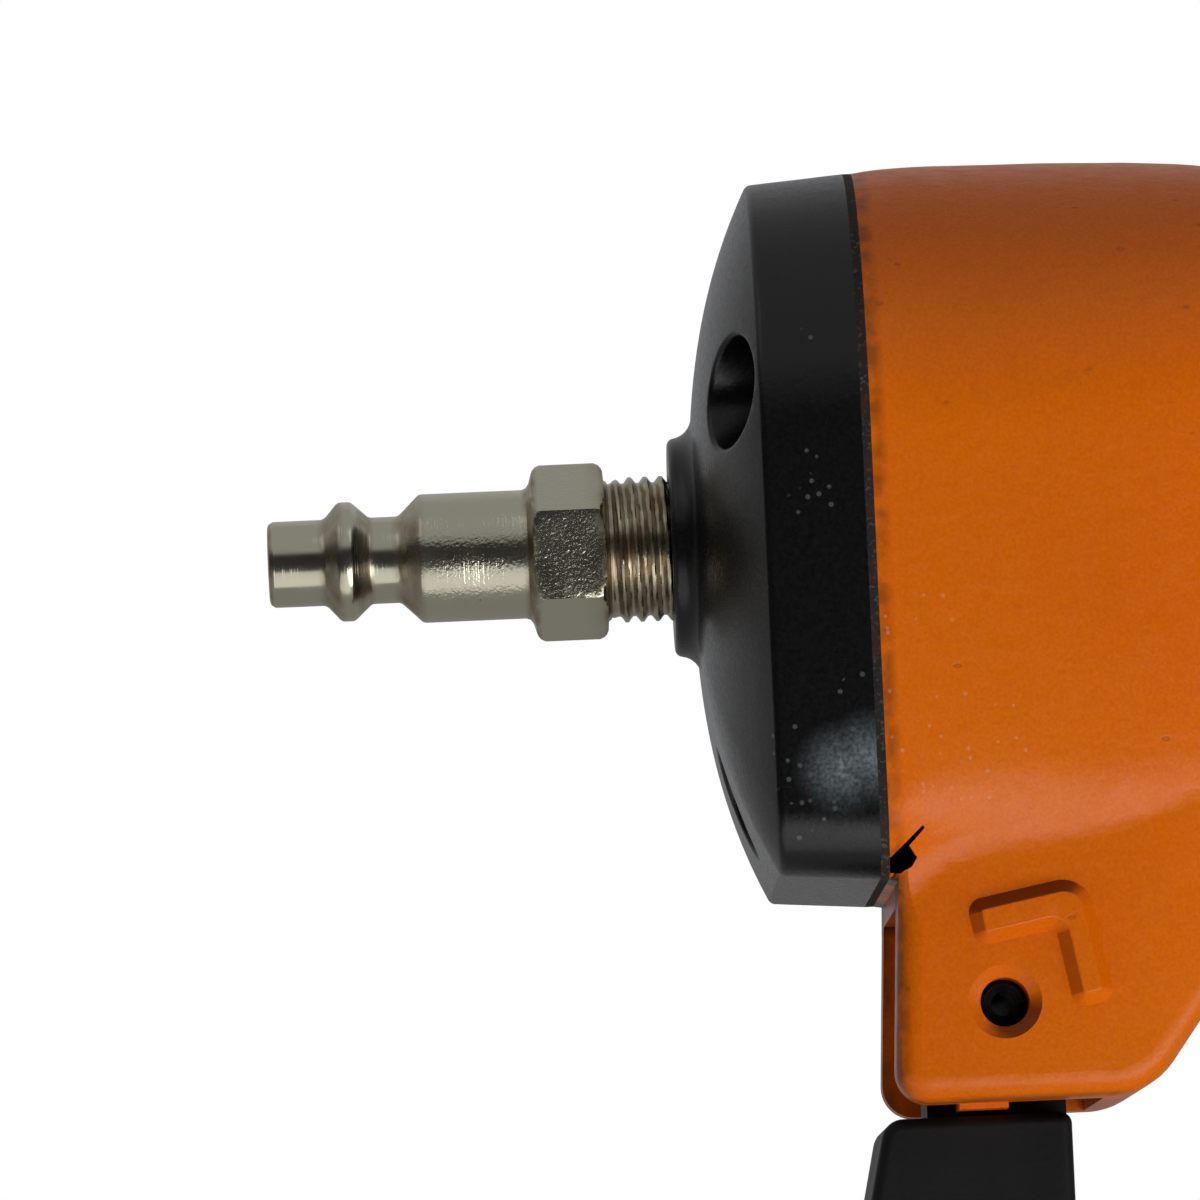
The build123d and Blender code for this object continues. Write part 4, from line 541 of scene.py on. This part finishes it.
def fibre_gasket():
    """Gasket punched from bonded fibre sheet.

    To the eye a dark line with pale frayed fibres and a reddish cut edge.
    """
    material, tree, place = new_finish("fibre_gasket")
    tufts = add(tree, "TexNoise", {"Vector": place, "Scale": per_mm(0.4), "Detail": 3.0}).outputs["Fac"]
    colour = turning_colour(tree, tufts, 0.54, 0.66, "#15100E", "#4B463F")
    stain = add(tree, "TexNoise", {"Vector": place, "Scale": per_mm(4), "Detail": 2.0}).outputs["Fac"]
    cut = add(tree, "MapRange", {0: stain, 1: 0.5, 2: 0.62, 3: 0.0, 4: 0.7})
    stained = {0: cut.outputs[0], 6: colour.outputs[2], 7: paint("#33150D")}
    colour = add(tree, "Mix", stained, data_type="RGBA")
    bump = add(tree, "Bump", {"Height": tufts, "Strength": 0.8, "Distance": 0.08 * MM})
    rough = add(tree, "MapRange", {0: tufts, 1: 0.3, 2: 0.7, 3: 0.75, 4: 0.92})
    return close_finish(material, colour, rough, bump, {"IOR": 1.5})


def moulded_black_nylon():
    """Glass-filled nylon from a spark-eroded mould.

    To the eye a matt bluish black with a fine pitted grain and faint flow streaks of glass.
    """
    material, tree, place = new_finish("moulded_black_nylon")
    # Spark erosion leaves pits of some 0.1 mm, drawn 0.5 mm wide to show
    pits = add(tree, "TexVoronoi", {"Vector": place, "Scale": per_mm(0.5)})
    bump = add(tree, "Bump", {"Height": pits.outputs["Distance"], "Strength": 0.35, "Distance": 0.03 * MM})
    flow = add(tree, "Mapping", {"Vector": place, "Scale": (1.0, 1.0, 0.2)}).outputs[0]
    streaks = add(tree, "TexNoise", {"Vector": flow, "Scale": per_mm(4), "Detail": 4.0}).outputs["Fac"]
    colour = turning_colour(tree, streaks, 0.45, 0.75, "#09090B", "#131418", most=0.7)
    rough = add(tree, "MapRange", {0: streaks, 1: 0.3, 2: 0.7, 3: 0.46, 4: 0.6})
    return close_finish(material, colour, rough, bump, {"IOR": 1.53, "Specular IOR Level": 0.22})


finish_of_slot = {
    "orange_paint": orange_stove_enamel(),
    "black_paint": black_satin_paint(),
    "black_nylon": moulded_black_nylon(),
    "rubber": moulded_rubber(),
    "gasket": fibre_gasket(),
    "nickel_plate": nickel_plated_steel(),
    "black_oxide": black_oxide_steel(),
    "zinc_steel": zinc_plated_steel(),
    "hard_steel": ground_tool_steel(),
    "black_steel": black_baked_paint(),
    "aluminium": machined_aluminium(),
    "brass": turned_brass(),
    "spring_steel": tempered_spring_steel(),
    "galvanised_wire": galvanised_staple_wire(),
}
for part in frame["record"]["subparts"]:
    shown = nodes[part["node"]]
    shown.data.materials.clear()
    shown.data.materials.append(finish_of_slot[part["material_slot"]])
    # The faces are joined where they meet, so that light runs smoothly over tangent ones
    shown.modifiers.new("joined", "WELD").merge_threshold = joined_within
    shown.modifiers.new("edges", "EDGE_SPLIT").split_angle = sharp_angle
    shown.modifiers.new("shading", "WEIGHTED_NORMAL").keep_sharp = True


# Casting with its rounded lug and the nook beside the tail joint
rim_round = 2.2
# Where the solid's ear rims lie: along x, out to the side, and how high behind and in front
rim_rear, rear_end, rim_front = joint_x - 1, joint_x + 10, joint_x + 40
rim_inside, rim_outside = 21.0, 25.2
rear_rim_top, front_rim_top = 103.0, 109.0
# Sideways share of the faces' normals at a rim: the ear's side, the same where it curves out to the
# flange above curve_start, and the face that it meets
side_least, curved_least, edge_most = 0.9, 0.62, 0.2
curve_start = 98.0
# Outline of the narrow nook that is left where the lug runs into the flange, as (x, z)
nook_outline = [
    (-237.0, 102.9), (-237.0, 104.2), (-235.9, 104.2), (-232.9, 107.0), (-232.75, 106.75),
    (-234.2, 105.2), (-233.5, 104.2), (-234.0, 103.4), (-235.0, 102.9),
]
nook_near, nook_far = 17.5, 30.0   # from the middle plane, to outside the casting


def lies_on_rim(edge, side):
    """Whether an edge of the casting is the outer rim of the lug's ear on the given side."""
    middle = (edge.verts[0].co + edge.verts[1].co) / 2 / MM
    behind = middle.x < rear_end
    if not (rim_rear < middle.x < rim_front and rim_inside < side * middle.y < rim_outside):
        return False
    if middle.z > (rear_rim_top if behind else front_rim_top):
        return False
    flat, turned = sorted((abs(face.normal.y) for face in edge.link_faces), reverse=True)
    return flat > (curved_least if behind and middle.z > curve_start else side_least) and turned < edge_most


def ear_rim(work, side):
    """Rim of an ear from its rear top to its front: points and the directions of both faces there."""
    links = {}
    for edge in work.edges:
        if lies_on_rim(edge, side):
            for vert in edge.verts:
                links.setdefault(vert, []).append(edge)
    ends = [vert for vert, own in links.items() if len(own) == 1]
    vert = min(ends, key=lambda end: end.co.x)
    rim = []
    passed = set()
    while vert:
        flat, turned = Vector(), Vector()
        for edge in links[vert]:
            turned_face, flat_face = sorted(edge.link_faces, key=lambda face: abs(face.normal.y))
            flat += flat_face.normal
            turned += turned_face.normal
        rim.append((vert.co / MM, flat.normalized(), turned.normalized()))
        onward = [edge for edge in links[vert] if edge not in passed]
        passed.update(onward)
        vert = onward[0].other_vert(vert) if onward else None
    return rim


def rim_cutter(rim):
    """What rounding takes off along a rim; the rounding runs out towards the rim's front end."""
    clear = 0.3   # how far the cutter stands out of the casting
    fade_length = 16.0
    least_share = 0.1
    round_steps = 8
    left = 0.0
    rows = []
    after = rim[-1][0]
    for point, flat, turned in reversed(rim):
        left += (after - point).length
        after = point
        radius = rim_round * min(1.0, least_share + left / fade_length)
        row = [point + clear * (flat + turned), point - radius * turned + clear * flat]
        for step in range(round_steps + 1):
            angle = math.radians(90 * step / round_steps)
            inward = turned * (1 - math.sin(angle)) + flat * (1 - math.cos(angle))
            row.append(point - radius * inward)
        row.append(point - radius * flat + clear * turned)
        rows.append(row)
    return skin("rim_cutter", rows, capped=True)


def carve(piece, cutter):
    """Takes the cutter's shape out of a piece for good."""
    cut = piece.modifiers.new("carve", "BOOLEAN")
    cut.object = cutter
    shaped = piece.evaluated_get(bpy.context.evaluated_depsgraph_get())
    mesh = bpy.data.meshes.new_from_object(shaped)
    piece.modifiers.clear()
    piece.data = mesh
    bpy.data.objects.remove(cutter)


# The solid's skin again, joined where its faces meet, before the rims and nooks are cut
work = bmesh.new()
work.from_mesh(nodes["body_casting"].data)
bmesh.ops.remove_doubles(work, verts=work.verts, dist=joined_within)
work.normal_update()
casting_mesh = bpy.data.meshes.new("rounded_casting")
work.to_mesh(casting_mesh)
casting = bpy.data.objects.new("rounded_casting", casting_mesh)
bpy.context.scene.collection.objects.link(casting)
cutters = []
for side in (-1, 1):
    cutters.append(rim_cutter(ear_rim(work, side)))
    rows = [[(x, side * y, z) for x, z in nook_outline] for y in (nook_near, nook_far)]
    cutters.append(skin("nook_cutter", rows, capped=True))
work.free()
for cutter in cutters:
    carve(casting, cutter)
casting_mesh = casting.data
casting_mesh.materials.clear()
casting_mesh.materials.append(finish_of_slot["orange_paint"])
casting_mesh.shade_smooth()
casting.modifiers.new("edges", "EDGE_SPLIT").split_angle = sharp_angle
casting.modifiers.new("shading", "WEIGHTED_NORMAL").keep_sharp = True
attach(casting, "tool")
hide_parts("body_casting")


# Hanger pin, rolled up from spring strip
pin_x, pin_z = -226.2, 91.1
pin_half_length = 18.5
pin_radius = 2.13
strip_thickness = 0.42
pin_turns = 2.3
strip_gap = 0.03
lead_in = 0.8
end_shrink = 0.86
dip_share = 0.2   # part of each turn in which the strip steps in under itself
pin_steps = 64
pin_stations = [
    (-pin_half_length, end_shrink), (lead_in - pin_half_length, 1.0),
    (pin_half_length - lead_in, 1.0), (pin_half_length, end_shrink),
]
rows = []
for y, shrink in pin_stations:
    outer_run = []
    inner_run = []
    for step in range(pin_steps + 1):
        turn = pin_turns * step / pin_steps
        dip = min(max((turn % 1 - (1 - dip_share)) / dip_share, 0.0), 1.0)
        outer = pin_radius - (strip_thickness + strip_gap) * (int(turn) + dip)
        for run, r in ((outer_run, outer), (inner_run, outer - strip_thickness)):
            angle = 2 * math.pi * turn
            run.append((pin_x + shrink * r * math.cos(angle), y, pin_z + shrink * r * math.sin(angle)))
    rows.append(outer_run + inner_run[::-1])
rolled_pin = skin("rolled_hanger_pin", rows, capped=True)
rolled_pin.data.materials.append(finish_of_slot["black_oxide"])
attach(rolled_pin, "tool")
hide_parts("hanger_pin")


# Air plug, sizes from its tip
hex_turn = math.radians(6.5)   # where the hexagon stopped when the plug was tightened
hex_corner = 8.083   # half the width over corners
hex_rear, hex_front = 24.3, 30.9
half_side = math.radians(30)   # half of what one flat spans
thread_start, thread_end = 31.2, 46.0
thread_pitch = 1.411
thread_root = 6.1
thread_depth = 0.55
thread_runout = 1.2
flank_slope, flank_offset = 1.7, 0.35   # a tooth's flanks, cut off flat at crest and root
thread_steps = 150
plug_sides = 144
# Turned outline from the bore's mouth to the thread, as (x, radius)
plug_profile = [
    (0.0, 2.8), (0.0, 3.42), (0.12, 3.7), (0.5, 3.94), (2.9, 3.95), (4.9, 3.95), (5.15, 4.02),
    (5.4, 4.2), (6.35, 5.28), (6.6, 5.44), (6.85, 5.47), (7.55, 5.47), (7.75, 5.4), (8.0, 5.2),
    (9.2, 4.08), (9.45, 3.98), (9.7, 3.97), (11.8, 3.97), (12.05, 4.05), (12.25, 4.2), (13.8, 5.72),
    (14.0, 5.85), (14.25, 5.9), (19.0, 5.9), (23.4, 5.9), (23.8, 6.05), (24.05, 6.4), (24.2, 6.9),
    (24.31, 7.3), (24.45, 7.62), (24.7, 7.9), (25.1, 8.1), (27.0, 8.2), (30.1, 8.1), (30.5, 7.9),
    (30.75, 7.62), (30.89, 7.3), (30.95, 6.5), (31.2, 6.3),
]
inner_end = [(46.2, 5.9), (47.0, 5.4), (47.0, 2.8)]


def turned_radius(r, x, angle):
    """Radius of the turned skin, cut back to the flats along the hexagon."""
    if not hex_rear <= x <= hex_front:
        return r
    off_flat = (angle - hex_turn) % (2 * half_side) - half_side
    return min(hex_corner * math.cos(half_side) / math.cos(off_flat), r)


def thread_radius(x, angle):
    """Radius of the pipe thread, which rises from its root beside the hexagon."""
    phase = ((x - thread_start) / thread_pitch - angle / (2 * math.pi)) % 1.0
    tooth = min(1.0, max(0.0, flank_slope * (1 - abs(2 * phase - 1)) - flank_offset))
    fade = min(1.0, (x - thread_start) / thread_runout)
    return thread_root + thread_depth * tooth * fade


plug_angles = [hex_turn + 2 * math.pi * k / plug_sides for k in range(plug_sides)]
plug_reach = [(x, [turned_radius(r, x, angle) for angle in plug_angles]) for x, r in plug_profile]
for step in range(1, thread_steps):
    x = thread_start + (thread_end - thread_start) * step / thread_steps
    plug_reach.append((x, [thread_radius(x, angle) for angle in plug_angles]))
plug_reach += [(x, [r] * plug_sides) for x, r in inner_end]
plug_rings = []
for x, reaches in plug_reach:
    ring = []
    for reach, angle in zip(reaches, plug_angles):
        ring.append((plug_tip_x + x, -reach * math.sin(angle), handle_height + reach * math.cos(angle)))
    plug_rings.append(ring)
air_plug = skin("air_plug_skin", plug_rings, wrap=True, crease=32.0)
air_plug.data.materials.append(finish_of_slot["nickel_plate"])
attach(air_plug, "tool")
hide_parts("air_plug")


# Compression springs, drawn wire with closed ends
def spring(name, node, centre, coil_radius, wire_radius, turns, low, high):
    """Coil that closes up at both ends."""
    dead_turns = 0.8
    dead_pitch = 2.05 * wire_radius
    dead_rise = dead_pitch * dead_turns
    bottom = low + wire_radius
    free_rise = high - low - 2 * wire_radius - 2 * dead_rise
    per_turn = 40
    wire_sides = 14
    rings = []
    for step in range(turns * per_turn + 1):
        turn = step / per_turn
        closed_below = min(turn, dead_turns) / dead_turns
        closed_above = max(turn - turns + dead_turns, 0.0) / dead_turns
        open_share = min(max(turn - dead_turns, 0.0) / (turns - 2 * dead_turns), 1.0)
        z = bottom + dead_rise * (closed_below + closed_above) + free_rise * open_share
        angle = 2 * math.pi * turn
        ring = []
        for k in range(wire_sides):
            way = 2 * math.pi * k / wire_sides
            r = coil_radius + wire_radius * math.cos(way)
            ring.append((
                centre[0] + r * math.cos(angle),
                centre[1] + r * math.sin(angle),
                z + wire_radius * math.sin(way),
            ))
        rings.append(ring)
    coil = skin(name, rings, capped=True)
    coil.data.materials.append(finish_of_slot["spring_steel"])
    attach(coil, "tool")
    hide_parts(node)
    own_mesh(coil)


spring(
    "foot_return_coil", "contact_spring",
    centre=(-45.0, -9.6), coil_radius=3.0, wire_radius=0.5, turns=6, low=78.0, high=97.5,
)
spring(
    "main_valve_coil", "head_valve_spring",
    centre=(0.0, 0.0), coil_radius=11.0, wire_radius=0.9, turns=5, low=194.0, high=216.0,
)
spring(
    "stem_coil", "valve_spring",
    centre=(-62.0, 0.0), coil_radius=3.3, wire_radius=0.4, turns=4, low=118.8, high=126.5,
)


# Pusher's drawn-out band, from its anchor at the nose to the roll on the pusher
band_front = -8.1
band_rear = -110.5
band_half_width = 2.5
band_low, band_high = 44.9, 45.15
band_hollow = 0.1   # the rolled strip keeps a slight hollow across its width
low_edge, high_edge = band_low + band_hollow, band_high + band_hollow
stations = 48
rings = []
for station in range(stations + 1):
    x = band_front + (band_rear - band_front) * station / stations
    rings.append([
        (x, -band_half_width, low_edge), (x, 0.0, band_low), (x, band_half_width, low_edge),
        (x, band_half_width, high_edge), (x, 0.0, band_high), (x, -band_half_width, high_edge),
    ])
band = skin("pusher_spring_band", rings, capped=True)
band.data.materials.append(finish_of_slot["spring_steel"])
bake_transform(band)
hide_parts("pusher_band")


# Staples, one glued strip of bent wires with chisel points
draws = random.Random(7)
staple_front = -1.3
staple_pitch = 1.6
staple_count = 60
wire_across = 1.4
wire_along = 1.52
crown_outer = 5.5
crown_top = 47.6
leg_foot = 7.6
chisel = 1.9
point_narrow, point_out = 0.6, 0.75   # the points' width, and how far they lie to the legs' outsides
bend_radius = 1.5
bend_steps = 6
slip_limit = 0.05
nip = 0.22   # what is taken off the wire's corners
half_along = wire_along / 2
half_across = wire_across / 2
leg_middle = crown_outer - wire_across / 2
section = [
    (half_along, half_across - nip), (half_along - nip, half_across), (nip - half_along, half_across),
    (-half_along, half_across - nip), (-half_along, nip - half_across), (nip - half_along, -half_across),
    (half_along - nip, -half_across), (half_along, nip - half_across),
]


def staple_path():
    """Middle line of one staple as (y, z, y outward, z outward) from tip to tip."""
    top = crown_top - wire_across / 2
    path = [(leg_middle, leg_foot + chisel, 1.0, 0.0), (leg_middle, top - bend_radius, 1.0, 0.0)]
    for step in range(1, bend_steps):
        angle = math.radians(90 * step / bend_steps)
        out, rise = math.cos(angle), math.sin(angle)
        path.append((leg_middle - bend_radius * (1 - out), top - bend_radius * (1 - rise), out, rise))
    path.append((leg_middle - bend_radius, top, 0.0, 1.0))
    return path + [(-y, z, -out, rise) for y, z, out, rise in reversed(path)]


staple_points = []
staple_faces = []
path = staple_path()
tip_y = leg_middle + point_out * half_across
for number in range(staple_count):
    middle = staple_front - staple_pitch * (number + 0.5)
    slip = draws.uniform(-slip_limit, slip_limit)
    rows = []
    for y, z, out, rise in path:
        rows.append([(middle + a, y + b * out, z + b * rise + slip) for a, b in section])
    for end, side in ((0, 1), (len(rows), -1)):
        rows.insert(end, [(middle + point_narrow * a, side * tip_y, leg_foot + slip) for a, b in section])
    staple_faces += ring_faces(rows, start=len(staple_points), capped=True)
    staple_points += [Vector(point) * MM for row in rows for point in row]
strip = close_mesh("staple_wires", staple_points, staple_faces, crease=40.0)
strip.data.materials.append(finish_of_slot["galvanised_wire"])
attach(strip, "tool")
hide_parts("staple_strip")


# Grip sleeve, moulded rubber with grooves round it
grip_front, grip_rear = -93.0, -166.0
grip_thickness = 2.2
groove_pitch = 5.2
groove_width = 1.7
groove_depth = 0.85
groove_squareness = 0.6
grip_plain_ends = 8.0   # what both ends together have at least without a groove
grip_end_round = 1.2
skin_inset = 0.12   # the skin lies this far inside the solid sleeve's
bore_inset = 0.3   # the bore is drawn inside the handle, so that no gap shows
arc_steps = 16
run_steps = 6
# Sections of the waisted handle: x, half width, foot half width, top, bottom, crown and foot radius
handle_sections = [
    (-180.0, 21.0, 18.5, 27.2, 26.0, 18.4, 13.0),
    (-155.0, 18.2, 17.0, 22.2, 21.0, 15.8, 13.5),
    (-115.0, 17.6, 16.8, 20.6, 20.2, 15.4, 13.5),
    (-80.0, 18.4, 17.4, 22.0, 22.0, 16.0, 13.0),
]


def handle_section(x):
    """Section sizes of the handle at x, on the cubic through the four given ones."""
    sizes = [0.0] * 6
    for own in handle_sections:
        share = 1.0
        for other in handle_sections:
            if other is not own:
                share *= (x - other[0]) / (own[0] - other[0])
        sizes = [size + share * value for size, value in zip(sizes, own[1:])]
    return sizes


def arch_ring(x, inset):
    """Ring of points round the handle's arch section, drawn in by inset."""
    half_width, foot_half_width, top, bottom, crown, foot = handle_section(x)
    low, high = handle_height - bottom + inset, handle_height + top - inset
    corners = [
        (Vector((-foot_half_width + inset, low)), foot - inset),
        (Vector((foot_half_width - inset, low)), foot - inset),
        (Vector((half_width - inset, high)), crown - inset),
        (Vector((-half_width + inset, high)), crown - inset),
    ]
    arcs = []
    for i, (corner, radius) in enumerate(corners):
        before = (corners[i - 1][0] - corner).normalized()
        after = (corners[(i + 1) % len(corners)][0] - corner).normalized()
        half_angle = before.angle(after) / 2
        middle = corner + (before + after).normalized() * radius / math.sin(half_angle)
        first = corner + before * radius / math.tan(half_angle) - middle
        sweep = math.pi - 2 * half_angle
        turns = [Matrix.Rotation(sweep * step / arc_steps, 2) for step in range(arc_steps + 1)]
        arcs.append([middle + turn @ first for turn in turns])
    ring = []
    for arc, following in zip(arcs, arcs[1:] + arcs[:1]):
        run = [arc[-1].lerp(following[0], step / run_steps) for step in range(1, run_steps)]
        ring += [(x, point.x, point.y) for point in arc + run]
    return ring


rings = []
length = grip_front - grip_rear
count = int((length - grip_plain_ends) / groove_pitch)
first_groove = grip_rear + (length - (count - 1) * groove_pitch) / 2
samples = 230
for sample in range(samples + 1):
    x = grip_rear + length * sample / samples
    inset = skin_inset - grip_thickness
    for groove in range(count):
        away = abs(x - first_groove - groove * groove_pitch) / (groove_width / 2)
        if away < 1.0:
            inset += groove_depth * (0.5 + 0.5 * math.cos(math.pi * away)) ** groove_squareness
    edge = min(x - grip_rear, grip_front - x)
    if edge < grip_end_round:
        inset += grip_end_round - math.sqrt(grip_end_round**2 - (grip_end_round - edge) ** 2)
    rings.append(arch_ring(x, inset))
for x in (grip_front, (grip_front + grip_rear) / 2, grip_rear):
    rings.append(arch_ring(x, bore_inset))
sleeve = skin("grooved_grip", rings, wrap=True, crease=50.0)
sleeve.data.materials.append(finish_of_slot["rubber"])
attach(sleeve, "tool")
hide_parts("grip_sleeve")


# Studio with a pale floor, soft lights and the photograph's camera, in metres
def soft_light(name, place, aim, size, power):
    """Square or oblong soft box that faces a point."""
    lamp = bpy.data.lights.new(name, "AREA")
    lamp.shape = "RECTANGLE"
    lamp.size, lamp.size_y = size
    lamp.energy = power
    box = bpy.data.objects.new(name, lamp)
    box.location = place
    box.rotation_euler = (Vector(aim) - Vector(place)).to_track_quat("-Z", "Y").to_euler()
    box.visible_camera = False
    bpy.context.scene.collection.objects.link(box)


floor_gap = 0.0002
floor_height = cad_box[0][2] - floor_gap
floor_reach = 6.0
floor_mesh = bpy.data.meshes.new("floor")
floor_corners = [
    (x * floor_reach, y * floor_reach, floor_height) for x, y in ((-1, -1), (1, -1), (1, 1), (-1, 1))
]
floor_mesh.from_pydata(floor_corners, [], [(0, 1, 2, 3)])
floor = bpy.data.objects.new("floor", floor_mesh)
bpy.context.scene.collection.objects.link(floor)
material, tree, place = new_finish("pale_floor")
speck = add(tree, "TexNoise", {"Vector": place, "Scale": per_mm(400), "Detail": 2.0}).outputs["Fac"]
shades = {6: paint("#E2E1DE"), 7: paint("#E8E7E5")}
tone = add(tree, "Mix", {0: speck, **shades}, data_type="RGBA")
floor_skin = add(tree, "BsdfPrincipled", {
    "Base Color": tone.outputs[2],
    "Roughness": 0.9,
    "Emission Color": paint("#FFFFFF"),
    "Emission Strength": 0.6,
})
# The floor looks evenly pale, but lights the object as a sweep that darkens towards the camera
depth = add(tree, "SeparateXYZ", {0: place}).outputs["Y"]
give = add(tree, "MapRange", {0: depth, 1: -0.34, 2: -0.06, 3: 0.03, 4: 0.26})
sweep = add(tree, "Emission", {"Strength": give.outputs[0]})
seen = add(tree, "LightPath").outputs["Is Camera Ray"]
either = add(tree, "MixShader", {0: seen, 1: sweep.outputs[0], 2: floor_skin.outputs[0]})
add(tree, "OutputMaterial", {"Surface": either.outputs[0]})
floor_mesh.materials.append(material)

# Middle of the photograph, on the tool's middle plane
aim = Vector((-0.2605, 0.0, 0.1305))
soft_light("left_box", place=(-1.25, -0.75, 1.5), aim=aim, size=(0.9, 0.9), power=0.7)
soft_light("right_box", place=(0.75, -0.95, 1.5), aim=aim, size=(0.9, 0.9), power=0.9)
# Two panels lie on the floor in front of the tool and face up
panel_lift = 0.002
panel_height = floor_height + panel_lift
for name, x, y, size, power in (
    ("low_panel", 0.03, -0.24, (0.53, 0.28), 1.55),
    ("plug_panel", -0.345, -0.17, (0.22, 0.23), 0.1),
):
    soft_light(name, place=(x, y, panel_height), aim=(x, y, 1.0), size=size, power=power)

# The surround lights from overhead and behind, and is plain white to the camera
world = bpy.data.worlds.new("studio")
bpy.context.scene.world = world
world.use_nodes = True
tree = world.node_tree
tree.nodes.clear()
way = add(tree, "SeparateXYZ", {0: add(tree, "TexCoord").outputs["Generated"]})
overhead = add(tree, "MapRange", {0: way.outputs["Z"], 1: 0.3, 2: 0.46, 3: 0.0, 4: 0.38})
behind = add(tree, "MapRange", {0: way.outputs["Y"], 1: 0.0, 2: 0.55, 3: 0.03, 4: 0.45})
glow = add(tree, "Math", {0: overhead.outputs[0], 1: behind.outputs[0]}, operation="MAXIMUM")
surround = add(tree, "Background", {"Color": paint("#F6F7FA"), "Strength": glow.outputs[0]})
backdrop = add(tree, "Background", {"Color": paint("#FFFFFF"), "Strength": 1.0})
seen = add(tree, "LightPath").outputs["Is Camera Ray"]
both = add(tree, "MixShader", {0: seen, 1: surround.outputs[0], 2: backdrop.outputs[0]})
add(tree, "OutputWorld", {"Surface": both.outputs[0]})

# Camera of the photograph, tipped up a little and rolled
camera_data = bpy.data.cameras.new("camera")
camera = bpy.data.objects.new("camera", camera_data)
bpy.context.scene.collection.objects.link(camera)
bpy.context.scene.camera = camera
distance = 0.9
view_width = 0.110
sensor_width = 36.0
yaw, pitch, roll = (math.radians(angle) for angle in (0.5, 5.0, 2.5))
forward = Vector((math.sin(yaw) * math.cos(pitch), math.cos(yaw) * math.cos(pitch), math.sin(pitch)))
level = forward.cross(Vector((0, 0, 1))).normalized()
upright = level.cross(forward)
right = level * math.cos(roll) - upright * math.sin(roll)
up = upright * math.cos(roll) + level * math.sin(roll)
turned = Matrix((right, up, -forward)).transposed().to_4x4()
camera.matrix_world = Matrix.Translation(aim - forward * distance) @ turned
camera_data.sensor_width = sensor_width
camera_data.lens = sensor_width * distance / view_width
camera_data.clip_start = 0.01
bpy.context.scene.view_settings.view_transform = "Standard"
